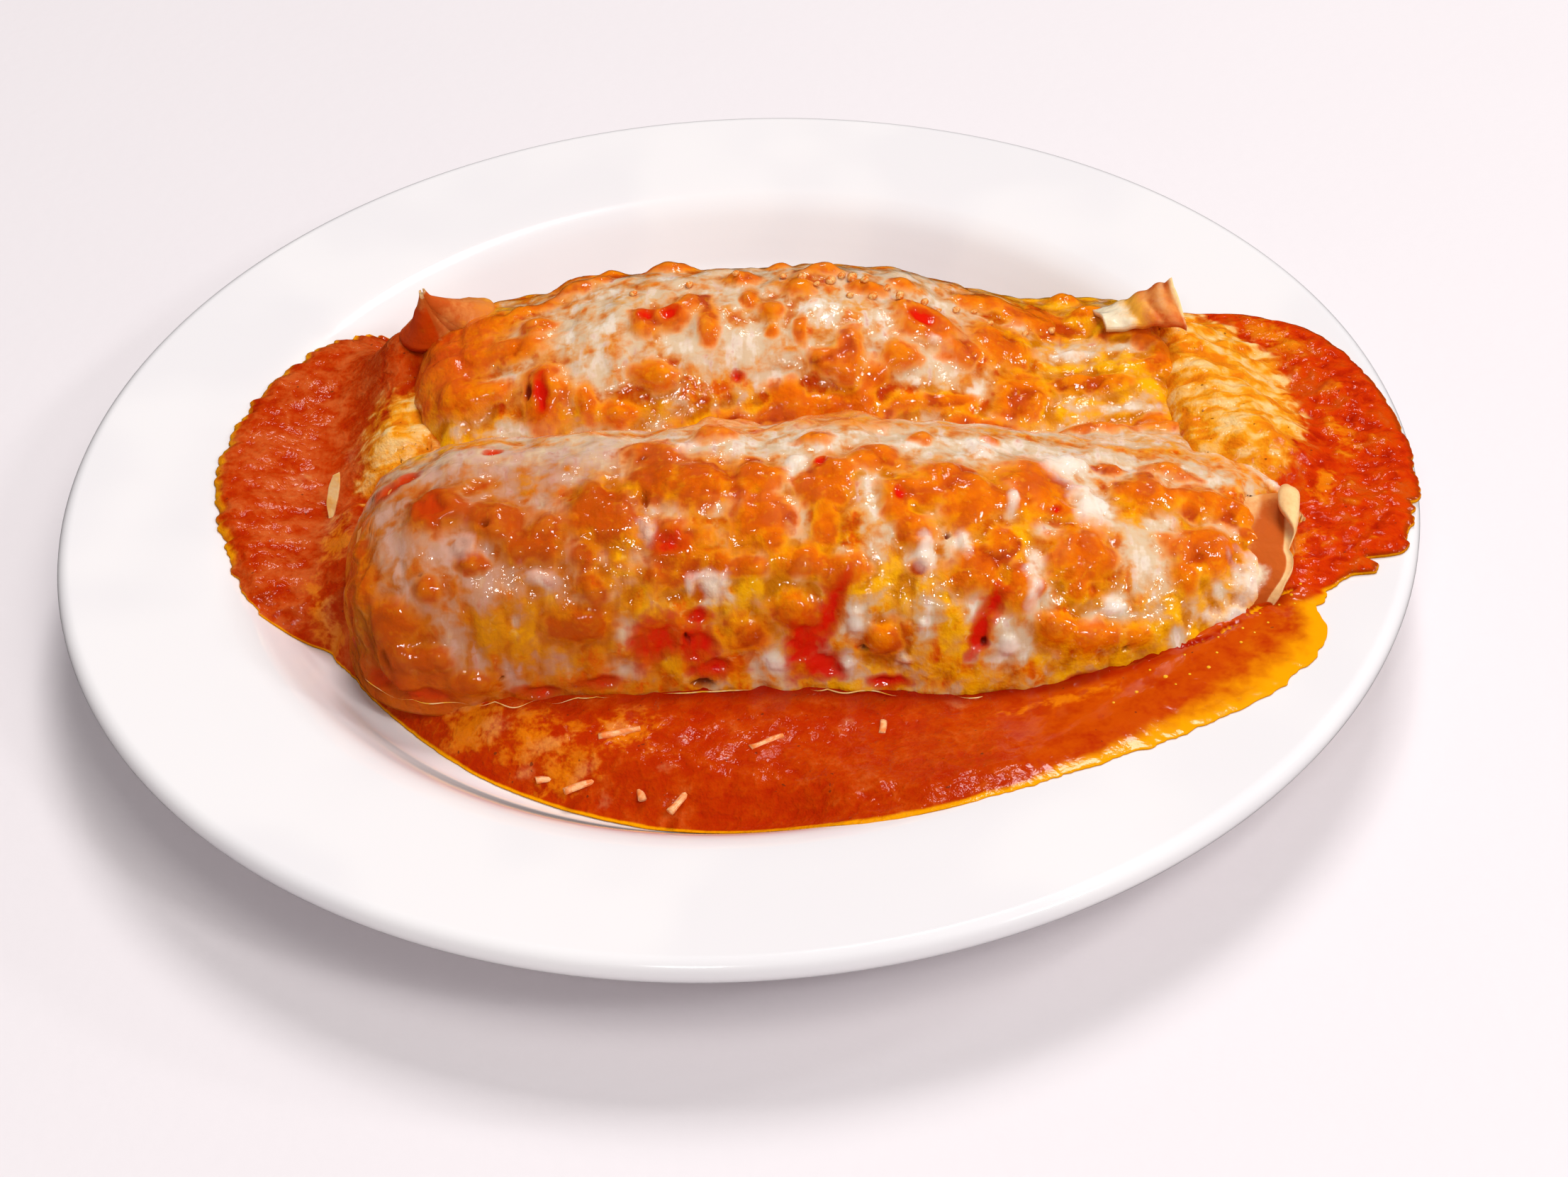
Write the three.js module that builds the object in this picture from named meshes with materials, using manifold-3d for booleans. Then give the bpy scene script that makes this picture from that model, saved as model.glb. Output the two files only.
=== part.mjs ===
// Two large cannelloni baked under melted cheese, in tomato sauce on a wide-rimmed round dinner plate.
// Millimetres, +Z up. The origin is the middle of the plate, on the surface that the plate stands on.
// The rolls lie along X, the front one towards -Y.

import * as THREE from 'three';
import { mergeVertices } from 'three/addons/utils/BufferGeometryUtils.js';
import Module from 'manifold-3d';

const wasm = await Module();
wasm.setup();

// Room left between pieces that lie against each other.
const GAP = 0.3;

// Plate
const PLATE_RADIUS = 140;
const LIP_RADIUS = 2.7;
const LIP_CENTRE_Z = 23.3;
const WELL_FLOOR_Z = 9;
const WELL_FLOOR_RADIUS = 86;
const BEND_RADIUS = 112;
const BEND_Z = 23.4;
const FOOT_INNER_RADIUS = 75.5;
const FOOT_OUTER_RADIUS = 82;
const FOOT_HEIGHT = 4;
const PLATE_SEGMENTS = 64;
const BED_SEGMENTS = PLATE_SEGMENTS / 2;

// Sauce
const SAUCE_LEVEL = 17.8;
const SAUCE_EDGE_THICKNESS = 0.9;
const RIM_FILM_THICKNESS = 1.5;
const CRUST_THICKNESS = 2.2;
const BANK_START_RADIUS = 76;
const BANK_END_RADIUS = 114;
const SHORE_WIDTH = 4;
const BACK_SHORE_WIDTH = 9;
const SAUCE_UNDER_ROLLS = 2.1;
const CRUST_TOOTH_PITCH_DEG = 5.6;
const CRUST_TOOTH_DEPTH = 3.2;

// Cheese
const CHEESE_THICKNESS = 2.8;
const END_CHEESE_THICKNESS = 5;
const SECTION_POWER = 2.3;
const BASE_Z = SAUCE_LEVEL - 4;
const VALLEY_RISE = 10.5;
const VALLEY_RISE_RIGHT = 13;
const RIDGE_BLEND = 9;

// Pasta sheet
const PASTA_THICKNESS = 1.4;
const FLAKE_THICKNESS = 1;
const PIECE_MARGIN = 0.12;

// Each roll: where it lies, and its height above the sauce with its cheese on.
const FRONT_ROLL = {
  left: -79.5,
  right: 114.5,
  axisY: -31,
  halfWidth: 31,
  rise: 32.2,
  sags: [{ from: 15, to: 112, by: 15.2 }],
  bulge: { x: 55, spread: 15, by: 6.5 },
  narrow: { from: 60, to: 105, by: 13 },
};
const BACK_ROLL = {
  left: -71.5,
  right: 101,
  axisY: 27,
  halfWidth: 31,
  rise: 31,
  sags: [
    { from: -15, to: -55, by: 6.5 },
    { from: 20, to: 80, by: 16.5 },
  ],
  bulge: { x: 0, spread: 40, by: 0 },
  narrow: { from: 70, to: 105, by: 8 },
};
const END_POWER = 12;

const DEG = Math.PI / 180;

function clamp01(t) {
  return Math.min(1, Math.max(0, t));
}

function smooth(t) {
  const s = clamp01(t);
  return s * s * (3 - 2 * s);
}

function mix(a, b, t) {
  return a + (b - a) * t;
}

// The larger of two heights, with the corner between them rounded over the width k.
function smoothMax(a, b, k) {
  const h = Math.max(k - Math.abs(a - b), 0) / k;
  return Math.max(a, b) + (h * h * k) / 4;
}

// A seeded row of numbers between 0 and 1.
function randomRow(seed) {
  let state = seed;
  return () => {
    state = (state + 0x6d2b79f5) | 0;
    let t = Math.imul(state ^ (state >>> 15), 1 | state);
    t = (t + Math.imul(t ^ (t >>> 7), 61 | t)) ^ t;
    return ((t ^ (t >>> 14)) >>> 0) / 4294967296;
  };
}

// Slow unevenness made of crossing waves, between about -1 and 1.
function unevenness(x, y, scale) {
  const a = Math.sin(x / scale + 1.3 * Math.sin(y / scale + 0.7));
  const b = Math.sin(y / (scale * 0.8) + 1.1 * Math.sin(x / (scale * 1.3) + 2.1));
  return (a + b) / 2;
}

// A closed mesh as a solid that can be cut and joined.
function toSolid(geometry) {
  const bare = geometry.index ? geometry.toNonIndexed() : geometry;
  const positions = new THREE.BufferGeometry();
  positions.setAttribute('position', bare.getAttribute('position'));
  const merged = mergeVertices(positions, 1e-4);
  const index = merged.index.array;
  const triangles = [];
  for (let i = 0; i < index.length; i += 3) {
    const [a, b, c] = [index[i], index[i + 1], index[i + 2]];
    if (a !== b && b !== c && c !== a) triangles.push(a, b, c);
  }
  return new wasm.Manifold(
    new wasm.Mesh({
      numProp: 3,
      vertProperties: merged.attributes.position.array,
      triVerts: new Uint32Array(triangles),
    }),
  );
}

// The main body of a solid, without loose scraps that a cut left.
function withoutScraps(solid) {
  const [main] = solid.decompose().sort((a, b) => b.volume() - a.volume());
  return main;
}

// A solid as the geometry of a mesh.
function toGeometry(solid) {
  const { numProp, vertProperties, triVerts } = solid.getMesh();
  const positions = new Float32Array((vertProperties.length / numProp) * 3);
  for (let i = 0; i < positions.length / 3; i += 1) {
    positions.set(vertProperties.subarray(i * numProp, i * numProp + 3), i * 3);
  }
  const geometry = new THREE.BufferGeometry();
  geometry.setAttribute('position', new THREE.BufferAttribute(positions, 3));
  geometry.setIndex(new THREE.BufferAttribute(new Uint32Array(triVerts), 1));
  geometry.computeVertexNormals();
  return geometry;
}

// A closed skin through rings of points, each ring with the same number of points.
function loft(rings, capStart, capEnd) {
  const count = rings[0].length;
  const positions = rings.flat().flatMap((p) => [p.x, p.y, p.z]);
  const index = [];
  for (let i = 0; i + 1 < rings.length; i += 1) {
    for (let j = 0; j < count; j += 1) {
      const a = i * count + j;
      const b = i * count + ((j + 1) % count);
      index.push(a, b, b + count, a, b + count, a + count);
    }
  }
  const last = (rings.length - 1) * count;
  capStart.forEach(([a, b, c]) => index.push(c, b, a));
  capEnd.forEach(([a, b, c]) => index.push(last + a, last + b, last + c));
  const geometry = new THREE.BufferGeometry();
  geometry.setAttribute('position', new THREE.Float32BufferAttribute(positions, 3));
  geometry.setIndex(index);
  return geometry;
}

// The triangles that close a ring lying in a plane across X.
function capAcrossX(ring) {
  const contour = ring.map((p) => new THREE.Vector2(p.y, p.z));
  const faces = THREE.ShapeUtils.triangulateShape(contour, []);
  return THREE.ShapeUtils.isClockWise(contour) ? faces.map(([a, b, c]) => [c, b, a]) : faces;
}

// A turned solid about the plate's middle, from a profile of radius and height.
function turned(profile, segments) {
  const points = profile.map(([r, z]) => new THREE.Vector2(r, z));
  return new THREE.LatheGeometry(points, segments).rotateX(Math.PI / 2);
}

// The plate's upper surface from the middle out, as radius and height.
const PLATE_TOP = [
  [0, WELL_FLOOR_Z],
  [WELL_FLOOR_RADIUS, WELL_FLOOR_Z],
  [90, 9.6],
  [94, 11.3],
  [97, 14],
  [100, 17],
  [104, 20.6],
  [108, 22.6],
  [BEND_RADIUS, BEND_Z],
  [133.5, 25.4],
  [PLATE_RADIUS - LIP_RADIUS, LIP_CENTRE_Z + LIP_RADIUS],
];

function plateTop(r) {
  for (let i = 1; i < PLATE_TOP.length; i += 1) {
    const [r0, z0] = PLATE_TOP[i - 1];
    const [r1, z1] = PLATE_TOP[i];
    if (r <= r1) return mix(z0, z1, (r - r0) / (r1 - r0));
  }
  return LIP_CENTRE_Z + LIP_RADIUS;
}

function plateSolid() {
  const lip = [50, 5, -40].map((angle) => [
    PLATE_RADIUS - LIP_RADIUS + LIP_RADIUS * Math.cos(angle * DEG),
    LIP_CENTRE_Z + LIP_RADIUS * Math.sin(angle * DEG),
  ]);
  const underside = [
    [133, 20.4],
    [115, 18.6],
    [106, 15.6],
    [97, 7.6],
    [FOOT_OUTER_RADIUS + 2.5, FOOT_HEIGHT],
    [FOOT_OUTER_RADIUS, 0],
    [FOOT_INNER_RADIUS, 0],
    [FOOT_INNER_RADIUS - 2.5, FOOT_HEIGHT],
    [0, FOOT_HEIGHT],
  ];
  return toSolid(turned([...PLATE_TOP, ...lip, ...underside].reverse(), PLATE_SEGMENTS));
}

// Everything below the plate's upper surface raised by a height, out past the lip.
function bedSolid(raise) {
  const outer = PLATE_RADIUS + 10;
  const depth = -5;
  const top = PLATE_TOP.map(([r, z]) => [r, z + raise]);
  const lipTop = LIP_CENTRE_Z + LIP_RADIUS + raise;
  const profile = [...top, [outer, lipTop], [outer, depth], [0, depth]];
  return toSolid(turned(profile.reverse(), BED_SEGMENTS));
}

// Width and height factor of a roll with blunt ends: 1 along its length, 0 past its ends.
function endFactor(roll, x) {
  const middle = (roll.left + roll.right) / 2;
  const s = Math.abs(x - middle) / ((roll.right - roll.left) / 2);
  return s < 1 ? Math.sqrt(1 - s ** END_POWER) : 0;
}

function riseAt(roll, x) {
  const sag = roll.sags.reduce((sum, s) => sum + s.by * smooth((x - s.from) / (s.to - s.from)), 0);
  return (roll.rise - sag) * endFactor(roll, x);
}

function halfWidthAt(roll, x, outward) {
  const swell = roll.bulge.by * Math.exp(-(((x - roll.bulge.x) / roll.bulge.spread) ** 2) / 2);
  const taper = roll.narrow.by * smooth((x - roll.narrow.from) / (roll.narrow.to - roll.narrow.from));
  return (roll.halfWidth + (outward ? swell - taper : 0)) * endFactor(roll, x);
}

// A roll's outside across X at the angle turn, 0 towards +Y and 180 towards -Y, grown by grow.
function rollPoint(roll, x, turn, grow) {
  const outward = Math.sign(roll.axisY) * Math.cos(turn * DEG) > 0;
  const width = Math.max(0.4, halfWidthAt(roll, x, outward) + grow);
  const above = Math.max(0.4, riseAt(roll, x) + SAUCE_LEVEL - BASE_Z + grow);
  const below = 5 * Math.max(0.1, endFactor(roll, x)) + grow;
  const c = Math.cos(turn * DEG);
  const s = Math.sin(turn * DEG);
  const power = 2 / SECTION_POWER;
  const y = roll.axisY + width * Math.sign(c) * Math.abs(c) ** power;
  const z = BASE_Z + (s > 0 ? above : below) * Math.sign(s) * Math.abs(s) ** power;
  return new THREE.Vector3(x, y, z);
}

// Places along X, closer together towards the ends.
function stations(from, to, count, bunching) {
  return Array.from({ length: count + 1 }, (_, i) => {
    const even = (2 * i) / count - 1;
    const bunched = Math.sin((even * Math.PI) / 2);
    return mix(from, to, (mix(even, bunched, bunching) + 1) / 2);
  });
}

// The filled pasta roll under its cheese, grown outwards by grow and laid on a bed of sauce.
function rollSolid(roll, grow) {
  const around = 16;
  const under = grow - CHEESE_THICKNESS;
  const inset = END_CHEESE_THICKNESS - grow;
  const rings = stations(roll.left + inset, roll.right - inset, 20, 0.85).map((x) =>
    Array.from({ length: around }, (_, j) => rollPoint(roll, x, (360 * (j + 0.5)) / around, under)),
  );
  const body = toSolid(loft(rings, capAcrossX(rings[0]), capAcrossX(rings.at(-1))));
  return body.subtract(bedSolid(GAP + SAUCE_UNDER_ROLLS - grow));
}

// The bottom of the valley, which runs out gently on the left and ends bluntly on the right.
function valleyHeight(x, y) {
  const middle = 20;
  const right = 108 - 0.42 * y;
  const left = mix(-80, -67, smooth((y + 8) / 24));
  const s = x < middle ? (middle - x) / (middle - left) : (x - middle) / (right - middle);
  const rise = mix(VALLEY_RISE, VALLEY_RISE_RIGHT, smooth((x - 50) / 40));
  const end = Math.sqrt(Math.max(0, 1 - s ** (x < middle ? 6 : 9)));
  return BASE_Z + (SAUCE_LEVEL - BASE_Z + rise) * end;
}

// The height of the cheese between the two ridges, where it hangs across the valley.
function sheetHeight(x, y) {
  const [front, back] = [FRONT_ROLL, BACK_ROLL].map((roll) => {
    const width = Math.max(0.4, halfWidthAt(roll, x, false));
    const across = Math.min(1, Math.abs(y - roll.axisY) / width);
    const above = riseAt(roll, x) + SAUCE_LEVEL - BASE_Z;
    return BASE_Z + above * (1 - across ** SECTION_POWER) ** (1 / SECTION_POWER);
  });
  return smoothMax(smoothMax(front, back, RIDGE_BLEND), valleyHeight(x, y), RIDGE_BLEND);
}

// The large browned blisters of the cheese: place along x, place v on the sheet and radius.
const LARGE_BLISTERS = [
  [-56, 0.89, 4.6],
  [-45, 0.77, 4.4],
  [-24, 0.74, 6.2],
  [-7, 0.91, 7],
  [5, 0.7, 4.4],
  [19, 0.84, 5],
  [28, 0.97, 4.8],
  [42, 0.85, 6.2],
  [57, 0.91, 6.2],
  [64, 0.66, 6],
  [76, 0.95, 4.4],
  [89, 0.88, 5],
  [90, 0.62, 5],
  [-64, 0.36, 5.4],
  [-25, 0.32, 5.2],
  [4, 0.41, 5.4],
  [16, 0.23, 4.6],
  [-3, 1.57, 5.8],
  [20, 1.57, 7],
  [60, 1.57, 5.8],
  [-18, 1.66, 4.6],
  [44, 1.85, 4.4],
  [58, 1.87, 5.2],
];
const SMALL_BLISTER_COUNT = 60;
const BLISTER_STEEPNESS = 0.36;

// The large blisters, and small ones scattered by a seeded rule where there is room between them.
function blisterList() {
  const random = randomRow(20);
  const place = ([x, v, radius]) => ({ centre: cheesePoint(x, v), radius, height: radius * BLISTER_STEEPNESS });
  const blisters = LARGE_BLISTERS.map(place);
  for (let i = 0; i < SMALL_BLISTER_COUNT; i += 1) {
    const x = mix(BACK_ROLL.left + 8, BACK_ROLL.right - 8, random());
    const candidate = place([x, mix(0.3, 2.7, random()), mix(3.2, 4.8, random())]);
    const clear = blisters.every(
      (b) => b.centre.distanceTo(candidate.centre) > 0.9 * (b.radius + candidate.radius),
    );
    if (clear) blisters.push(candidate);
  }
  return blisters;
}

const blisters = blisterList();

function reliefAt(p) {
  const slow = 0.5 * unevenness(p.x + p.z, p.y - p.z, 9);
  return blisters.reduce((sum, { centre, radius, height }) => {
    const d = p.distanceTo(centre) / radius;
    return sum + (d < 1 ? height * (1 - d * d) ** 2 : 0);
  }, slow);
}

// The outside of the cheese, along v: 0 to 1 up the front, 1 to 2 from ridge to ridge, 2 to 3 down the back.
function cheesePoint(x, v) {
  if (v < 1) return rollPoint(FRONT_ROLL, x, 180 - 90 * Math.max(0, v), 0);
  if (v > 2) return rollPoint(BACK_ROLL, x, 90 * (3 - Math.min(3, v)), 0);
  const y = mix(FRONT_ROLL.axisY, BACK_ROLL.axisY, v - 1);
  return new THREE.Vector3(x, y, sheetHeight(x, y));
}

function cheesePointWithRelief(x, v) {
  const step = 0.03;
  const p = cheesePoint(x, v);
  const alongX = cheesePoint(x + 0.5, v).sub(cheesePoint(x - 0.5, v));
  const alongV = cheesePoint(x, v + step).sub(cheesePoint(x, v - step));
  const out = alongX.cross(alongV).normalize();
  const fade = smooth((p.z - BASE_Z) / 6);
  return p.addScaledVector(out, reliefAt(p) * fade);
}

function even(from, to, count) {
  return Array.from({ length: count }, (_, k) => mix(from, to, k / count));
}

// Places v from ridge to ridge, evenly spread along the outline of the cheese at x.
function valleyPlaces(x, count) {
  const fine = 96;
  const outline = even(1, 2, fine).map((v) => cheesePoint(x, v));
  const lengths = [0];
  outline.slice(1).forEach((p, k) => lengths.push(lengths[k] + p.distanceTo(outline[k])));
  return even(0, lengths.at(-1), count).map((target) => {
    const next = Math.max(1, lengths.findIndex((length) => length >= target));
    const share = (target - lengths[next - 1]) / (lengths[next] - lengths[next - 1]);
    return 1 + (next - 1 + share) / fine;
  });
}

// The cheese and all that it covers, down to below the sauce.
function cheeseHull() {
  const floor = WELL_FLOOR_Z - 2;
  const left = Math.min(FRONT_ROLL.left, BACK_ROLL.left) + 0.2;
  const right = Math.max(FRONT_ROLL.right, BACK_ROLL.right) - 0.2;
  const rings = stations(left, right, 42, 0.7).map((x) => {
    const across = [...even(0, 1, 11), ...valleyPlaces(x, 12), ...even(2, 3, 6), 3];
    const top = across.map((v) => cheesePointWithRelief(x, v));
    const back = new THREE.Vector3(x, top.at(-1).y, floor);
    const front = new THREE.Vector3(x, top[0].y, floor);
    return [...top, back, front].reverse();
  });
  return toSolid(loft(rings, capAcrossX(rings[0]), capAcrossX(rings.at(-1))));
}

// The shore of the sauce seen from above, as angle in degrees and radius.
const SHORE = [
  [0, 139],
  [10, 134.5],
  [20, 128],
  [30, 113],
  [38, 96],
  [50, 81],
  [70, 66.5],
  [90, 62.5],
  [110, 67.5],
  [122, 79],
  [131, 97],
  [140, 101],
  [150, 107],
  [170, 111],
  [180, 109],
  [200, 102],
  [210, 93.5],
  [230, 93.2],
  [250, 96.5],
  [260, 98.2],
  [270, 100.5],
  [280, 106],
  [300, 112.8],
  [320, 124.2],
  [330, 128],
  [340, 134],
  [350, 141],
];

const shoreCurve = new THREE.CatmullRomCurve3(
  SHORE.map(([angle, r]) => new THREE.Vector3(r * Math.cos(angle * DEG), r * Math.sin(angle * DEG), 0)),
  true,
  'centripetal',
);

// The baked crust on the right has lumpy teeth, the rest of the shore is slightly ragged.
function raggedness(angle) {
  const crust = smooth((angle + 30) / 10) * smooth((32 - angle) / 12);
  const tooth = Math.cos((2 * Math.PI * angle) / CRUST_TOOTH_PITCH_DEG + 2 * Math.sin(angle * 9 * DEG));
  const left = smooth((angle - 125) / 15) * smooth((215 - angle) / 15);
  const fine = Math.sin(angle * 31 * DEG) + Math.sin(angle * 47 * DEG + 1);
  return crust * CRUST_TOOTH_DEPTH * 0.5 * (tooth - 1) + left * 0.6 * fine;
}

function shorePoints() {
  const points = [];
  const pieces = SHORE.length;
  for (let i = 0; i < pieces; i += 1) {
    const span = (SHORE[(i + 1) % pieces][0] - SHORE[i][0] + 360) % 360;
    const onCrust = SHORE[i][0] >= 320 || SHORE[i][0] < 30;
    const count = Math.max(1, Math.round(span / (onCrust ? 1.35 : 5)));
    for (let k = 0; k < count; k += 1) {
      const p = shoreCurve.getPoint((i + k / count) / pieces);
      const turn = Math.atan2(p.y, p.x) / DEG;
      const angle = turn < -40 ? turn + 360 : turn;
      const r = Math.hypot(p.x, p.y) + raggedness(angle);
      points.push({ angle: turn, r });
    }
  }
  return points;
}

function sauceHeight(angle, r, shore) {
  const onPlate = plateTop(r) + GAP;
  const turn = angle > 270 ? angle - 360 : angle;
  const rightCrust = smooth((turn + 28) / 8) * smooth((50 - turn) / 15);
  const leftCrust = smooth((Math.abs(turn) - 130) / 15);
  const crust = CRUST_THICKNESS * Math.max(rightCrust, leftCrust);
  const bankEnd = Math.min(shore, BANK_END_RADIUS);
  const bankTop = plateTop(bankEnd) + GAP + SAUCE_EDGE_THICKNESS + crust;
  const climb = smooth((shore - 99) / 6) * smooth((r - BANK_START_RADIUS) / (bankEnd - BANK_START_RADIUS));
  const bank = mix(SAUCE_LEVEL, bankTop, climb);
  const full = Math.max(bank - onPlate, RIM_FILM_THICKNESS + crust);
  const atBack = smooth((90 - shore) / 15);
  const width = mix(SHORE_WIDTH, BACK_SHORE_WIDTH, atBack);
  const inland = clamp01((shore - r) / width);
  const round = Math.sqrt(1 - (1 - inland) ** 2);
  const edge = SAUCE_EDGE_THICKNESS + 0.5 * crust;
  const x = r * Math.cos(angle * DEG);
  const y = r * Math.sin(angle * DEG);
  const lumps = 0.4 * unevenness(x, y, 4) * inland;
  return onPlate + edge + (full - edge) * round + lumps;
}

// The sauce as a block from under the plate up to its surface, raised by raise.
function sauceBlock(raise) {
  const bottom = -2;
  const shares = [0.6, 0.78, 0.88, 0.94, 0.975, 0.992, 1];
  const shore = shorePoints();
  const rings = shares.map((share) =>
    shore.map(({ angle, r }) => {
      const at = share * r;
      const z = sauceHeight(angle, at, r) + raise;
      return new THREE.Vector3(at * Math.cos(angle * DEG), at * Math.sin(angle * DEG), z);
    }),
  );
  const floor = rings.at(-1).map((p) => new THREE.Vector3(p.x, p.y, bottom));
  const geometry = loft([floor, ...rings.reverse()], [], []);
  const count = shore.length;
  const innermost = rings.length * count;
  const middleBottom = innermost + count;
  const middleTop = middleBottom + 1;
  const position = [...geometry.attributes.position.array];
  position.push(0, 0, bottom, 0, 0, SAUCE_LEVEL + raise);
  const index = [...geometry.index.array];
  for (let a = 0; a < count; a += 1) {
    const b = (a + 1) % count;
    index.push(middleBottom, b, a, middleTop, innermost + a, innermost + b);
  }
  geometry.setAttribute('position', new THREE.Float32BufferAttribute(position, 3));
  geometry.setIndex(index);
  return toSolid(geometry);
}

// A thin piece of pasta: a surface over u and v from 0 to 1, given thickness across it and grown by grow.
function pastaPiece(surface, countU, countV, thickness, grow) {
  const half = thickness / 2 + grow;
  const margin = PIECE_MARGIN * grow;
  const at = (i, count) => {
    if (i === 0) return -margin;
    return i === count ? 1 + margin : i / count;
  };
  const sides = [-half, half].map((offset) =>
    Array.from({ length: countU + 1 }, (_, i) =>
      Array.from({ length: countV + 1 }, (_, j) => {
        const [u, v] = [at(i, countU), at(j, countV)];
        const e = 0.02;
        const alongU = surface(u + e, v).sub(surface(u - e, v));
        const alongV = surface(u, v + e).sub(surface(u, v - e));
        return surface(u, v).addScaledVector(alongU.cross(alongV).normalize(), offset);
      }),
    ),
  );
  const rings = sides[0].map((row, i) => [...row, ...[...sides[1][i]].reverse()]);
  const last = rings[0].length - 1;
  const cap = Array.from({ length: countV }, (_, j) => [
    [j, j + 1, last - j - 1],
    [j, last - j - 1, last - j],
  ]).flat();
  return toSolid(loft(rings, cap, cap));
}

// The pale end of the front roll's pasta: it wraps the roll's right end and flares at its free edge.
function frontEndSurface(u, v) {
  const x = mix(mix(101, 86, v), mix(114, 103, v), u);
  const turn = mix(10, 88, v) * DEG;
  const foot = 19.4 + 0.33 * (x - 87);
  const top = mix(35.2, 37, (110 - x) / 25);
  const tuck = 2.2 * (1 - clamp01(u)) ** 2;
  const flare = 1.6 * smooth((u - 0.7) / 0.3);
  const reach = 29 - tuck + flare;
  const y = -25 - reach * Math.sin(turn);
  const z = foot + (top - foot - tuck + flare) * Math.max(0, Math.cos(turn)) ** 0.9;
  return new THREE.Vector3(x, y, z);
}

// The raised corner of pasta at the back roll's left end: wings that meet in creases under the tip.
// Their feet are the left one, the front crease, the right one and the one behind.
const CORNER_FEET = [
  [-72, 38, 32],
  [-58.5, 22, 41],
  [-51.5, 36, 40.5],
  [-61, 45, 34],
];
const CORNER_TIP = [-64.5, 33, 49.6];

function backCornerSurface(u, v) {
  const wings = CORNER_FEET.length - 1;
  const wing = Math.min(wings - 1, Math.max(0, Math.floor(u * wings)));
  const from = new THREE.Vector3(...CORNER_FEET[wing]);
  const to = new THREE.Vector3(...CORNER_FEET[wing + 1]);
  return from.lerp(to, u * wings - wing).lerp(new THREE.Vector3(...CORNER_TIP), 0.88 * v);
}

// The arched end of the back roll's pasta on the right, lifted clear of the cheese.
function backEndSurface(u, v) {
  const turn = mix(-48, 80, v) * DEG;
  const x = mix(80, 96.5, u) - 1.5 * Math.sin(turn);
  const lift = mix(-6.5, 1, smooth(u)) + 0.5 * Math.sin(9 * v + 3 * u);
  return new THREE.Vector3(x, 28 + (12 + lift / 2) * Math.sin(turn), 30 + (13 + lift) * Math.cos(turn));
}

// A flake of pasta that stands in the sauce against the front roll's left end.
function flakeSurface(u, v) {
  const foot = new THREE.Vector3(-85.4, -10.6, 17);
  const tip = new THREE.Vector3(-81.6, -2.6, 28.6);
  const width = 1 + 1.9 * smooth(v / 0.7) * smooth((1.15 - v) / 0.4);
  const p = foot.lerp(tip, v);
  p.x += width * (u - 0.65);
  p.z -= 0.4 * width * (u - 0.5);
  return p;
}

// Shreds of grated cheese afloat in the sauce in front: place, direction in degrees and length.
const SHREDS = [
  [-44, -71, 20, 8],
  [-30, -82, 28, 9],
  [-12, -88, 55, 9],
  [-24, -72, 12, 7],
  [2, -78, 25, 8],
  [26, -75, 80, 5],
  [-20, -92, 100, 4],
  [-38, -79, 150, 6],
];
const SHRED_WIDTH = 2;

function shredSolid([x, y, direction, length]) {
  const count = 6;
  const stretch = new THREE.Vector2(length / 2, SHRED_WIDTH / 2);
  const rings = [
    [0.8, 0.9],
    [1, -0.9],
  ].map(([share, rise]) =>
    Array.from({ length: count }, (_, j) => {
      const turn = ((j + 0.5) * 2 * Math.PI) / count;
      const a = stretch.x * share * Math.cos(turn);
      const b = stretch.y * share * Math.sin(turn);
      const way = direction * DEG;
      const px = x + a * Math.cos(way) - b * Math.sin(way);
      const py = y + a * Math.sin(way) + b * Math.cos(way);
      const shore = Math.hypot(px, py);
      return new THREE.Vector3(px, py, Math.max(SAUCE_LEVEL, plateTop(shore)) + rise);
    }),
  );
  const cap = Array.from({ length: count - 2 }, (_, j) => [0, j + 1, j + 2]);
  return toSolid(loft(rings.reverse(), cap, cap));
}

const group = new THREE.Group();

function addPiece(name, solid, colour, roughness) {
  const material = new THREE.MeshStandardMaterial({ color: colour, roughness, metalness: 0 });
  const mesh = new THREE.Mesh(toGeometry(withoutScraps(solid)), material);
  mesh.name = name;
  group.add(mesh);
}

const PASTA_PIECES = [
  { name: 'pasta_end_front', surface: frontEndSurface, countU: 6, countV: 9, thickness: PASTA_THICKNESS },
  { name: 'pasta_corner_back', surface: backCornerSurface, countU: 9, countV: 4, thickness: PASTA_THICKNESS },
  { name: 'pasta_end_back', surface: backEndSurface, countU: 5, countV: 9, thickness: PASTA_THICKNESS },
  { name: 'pasta_flake_left', surface: flakeSurface, countU: 2, countV: 7, thickness: FLAKE_THICKNESS },
];
const bed = bedSolid(GAP);
const pastaShape = ({ surface, countU, countV, thickness }, grow) =>
  pastaPiece(surface, countU, countV, thickness, grow);
const roomForPasta = PASTA_PIECES.map((piece) => pastaShape(piece, GAP)).reduce((all, one) => all.add(one));
const roomForRolls = rollSolid(FRONT_ROLL, GAP).add(rollSolid(BACK_ROLL, GAP));
const sauceWithShreds = SHREDS.reduce((all, shred) => all.add(shredSolid(shred)), sauceBlock(0));
const sauce = sauceWithShreds.subtract(bed).subtract(roomForRolls).subtract(roomForPasta);
const cheese = cheeseHull()
  .subtract(roomForRolls)
  .subtract(sauceBlock(GAP))
  .subtract(bed)
  .subtract(roomForPasta);

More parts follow.
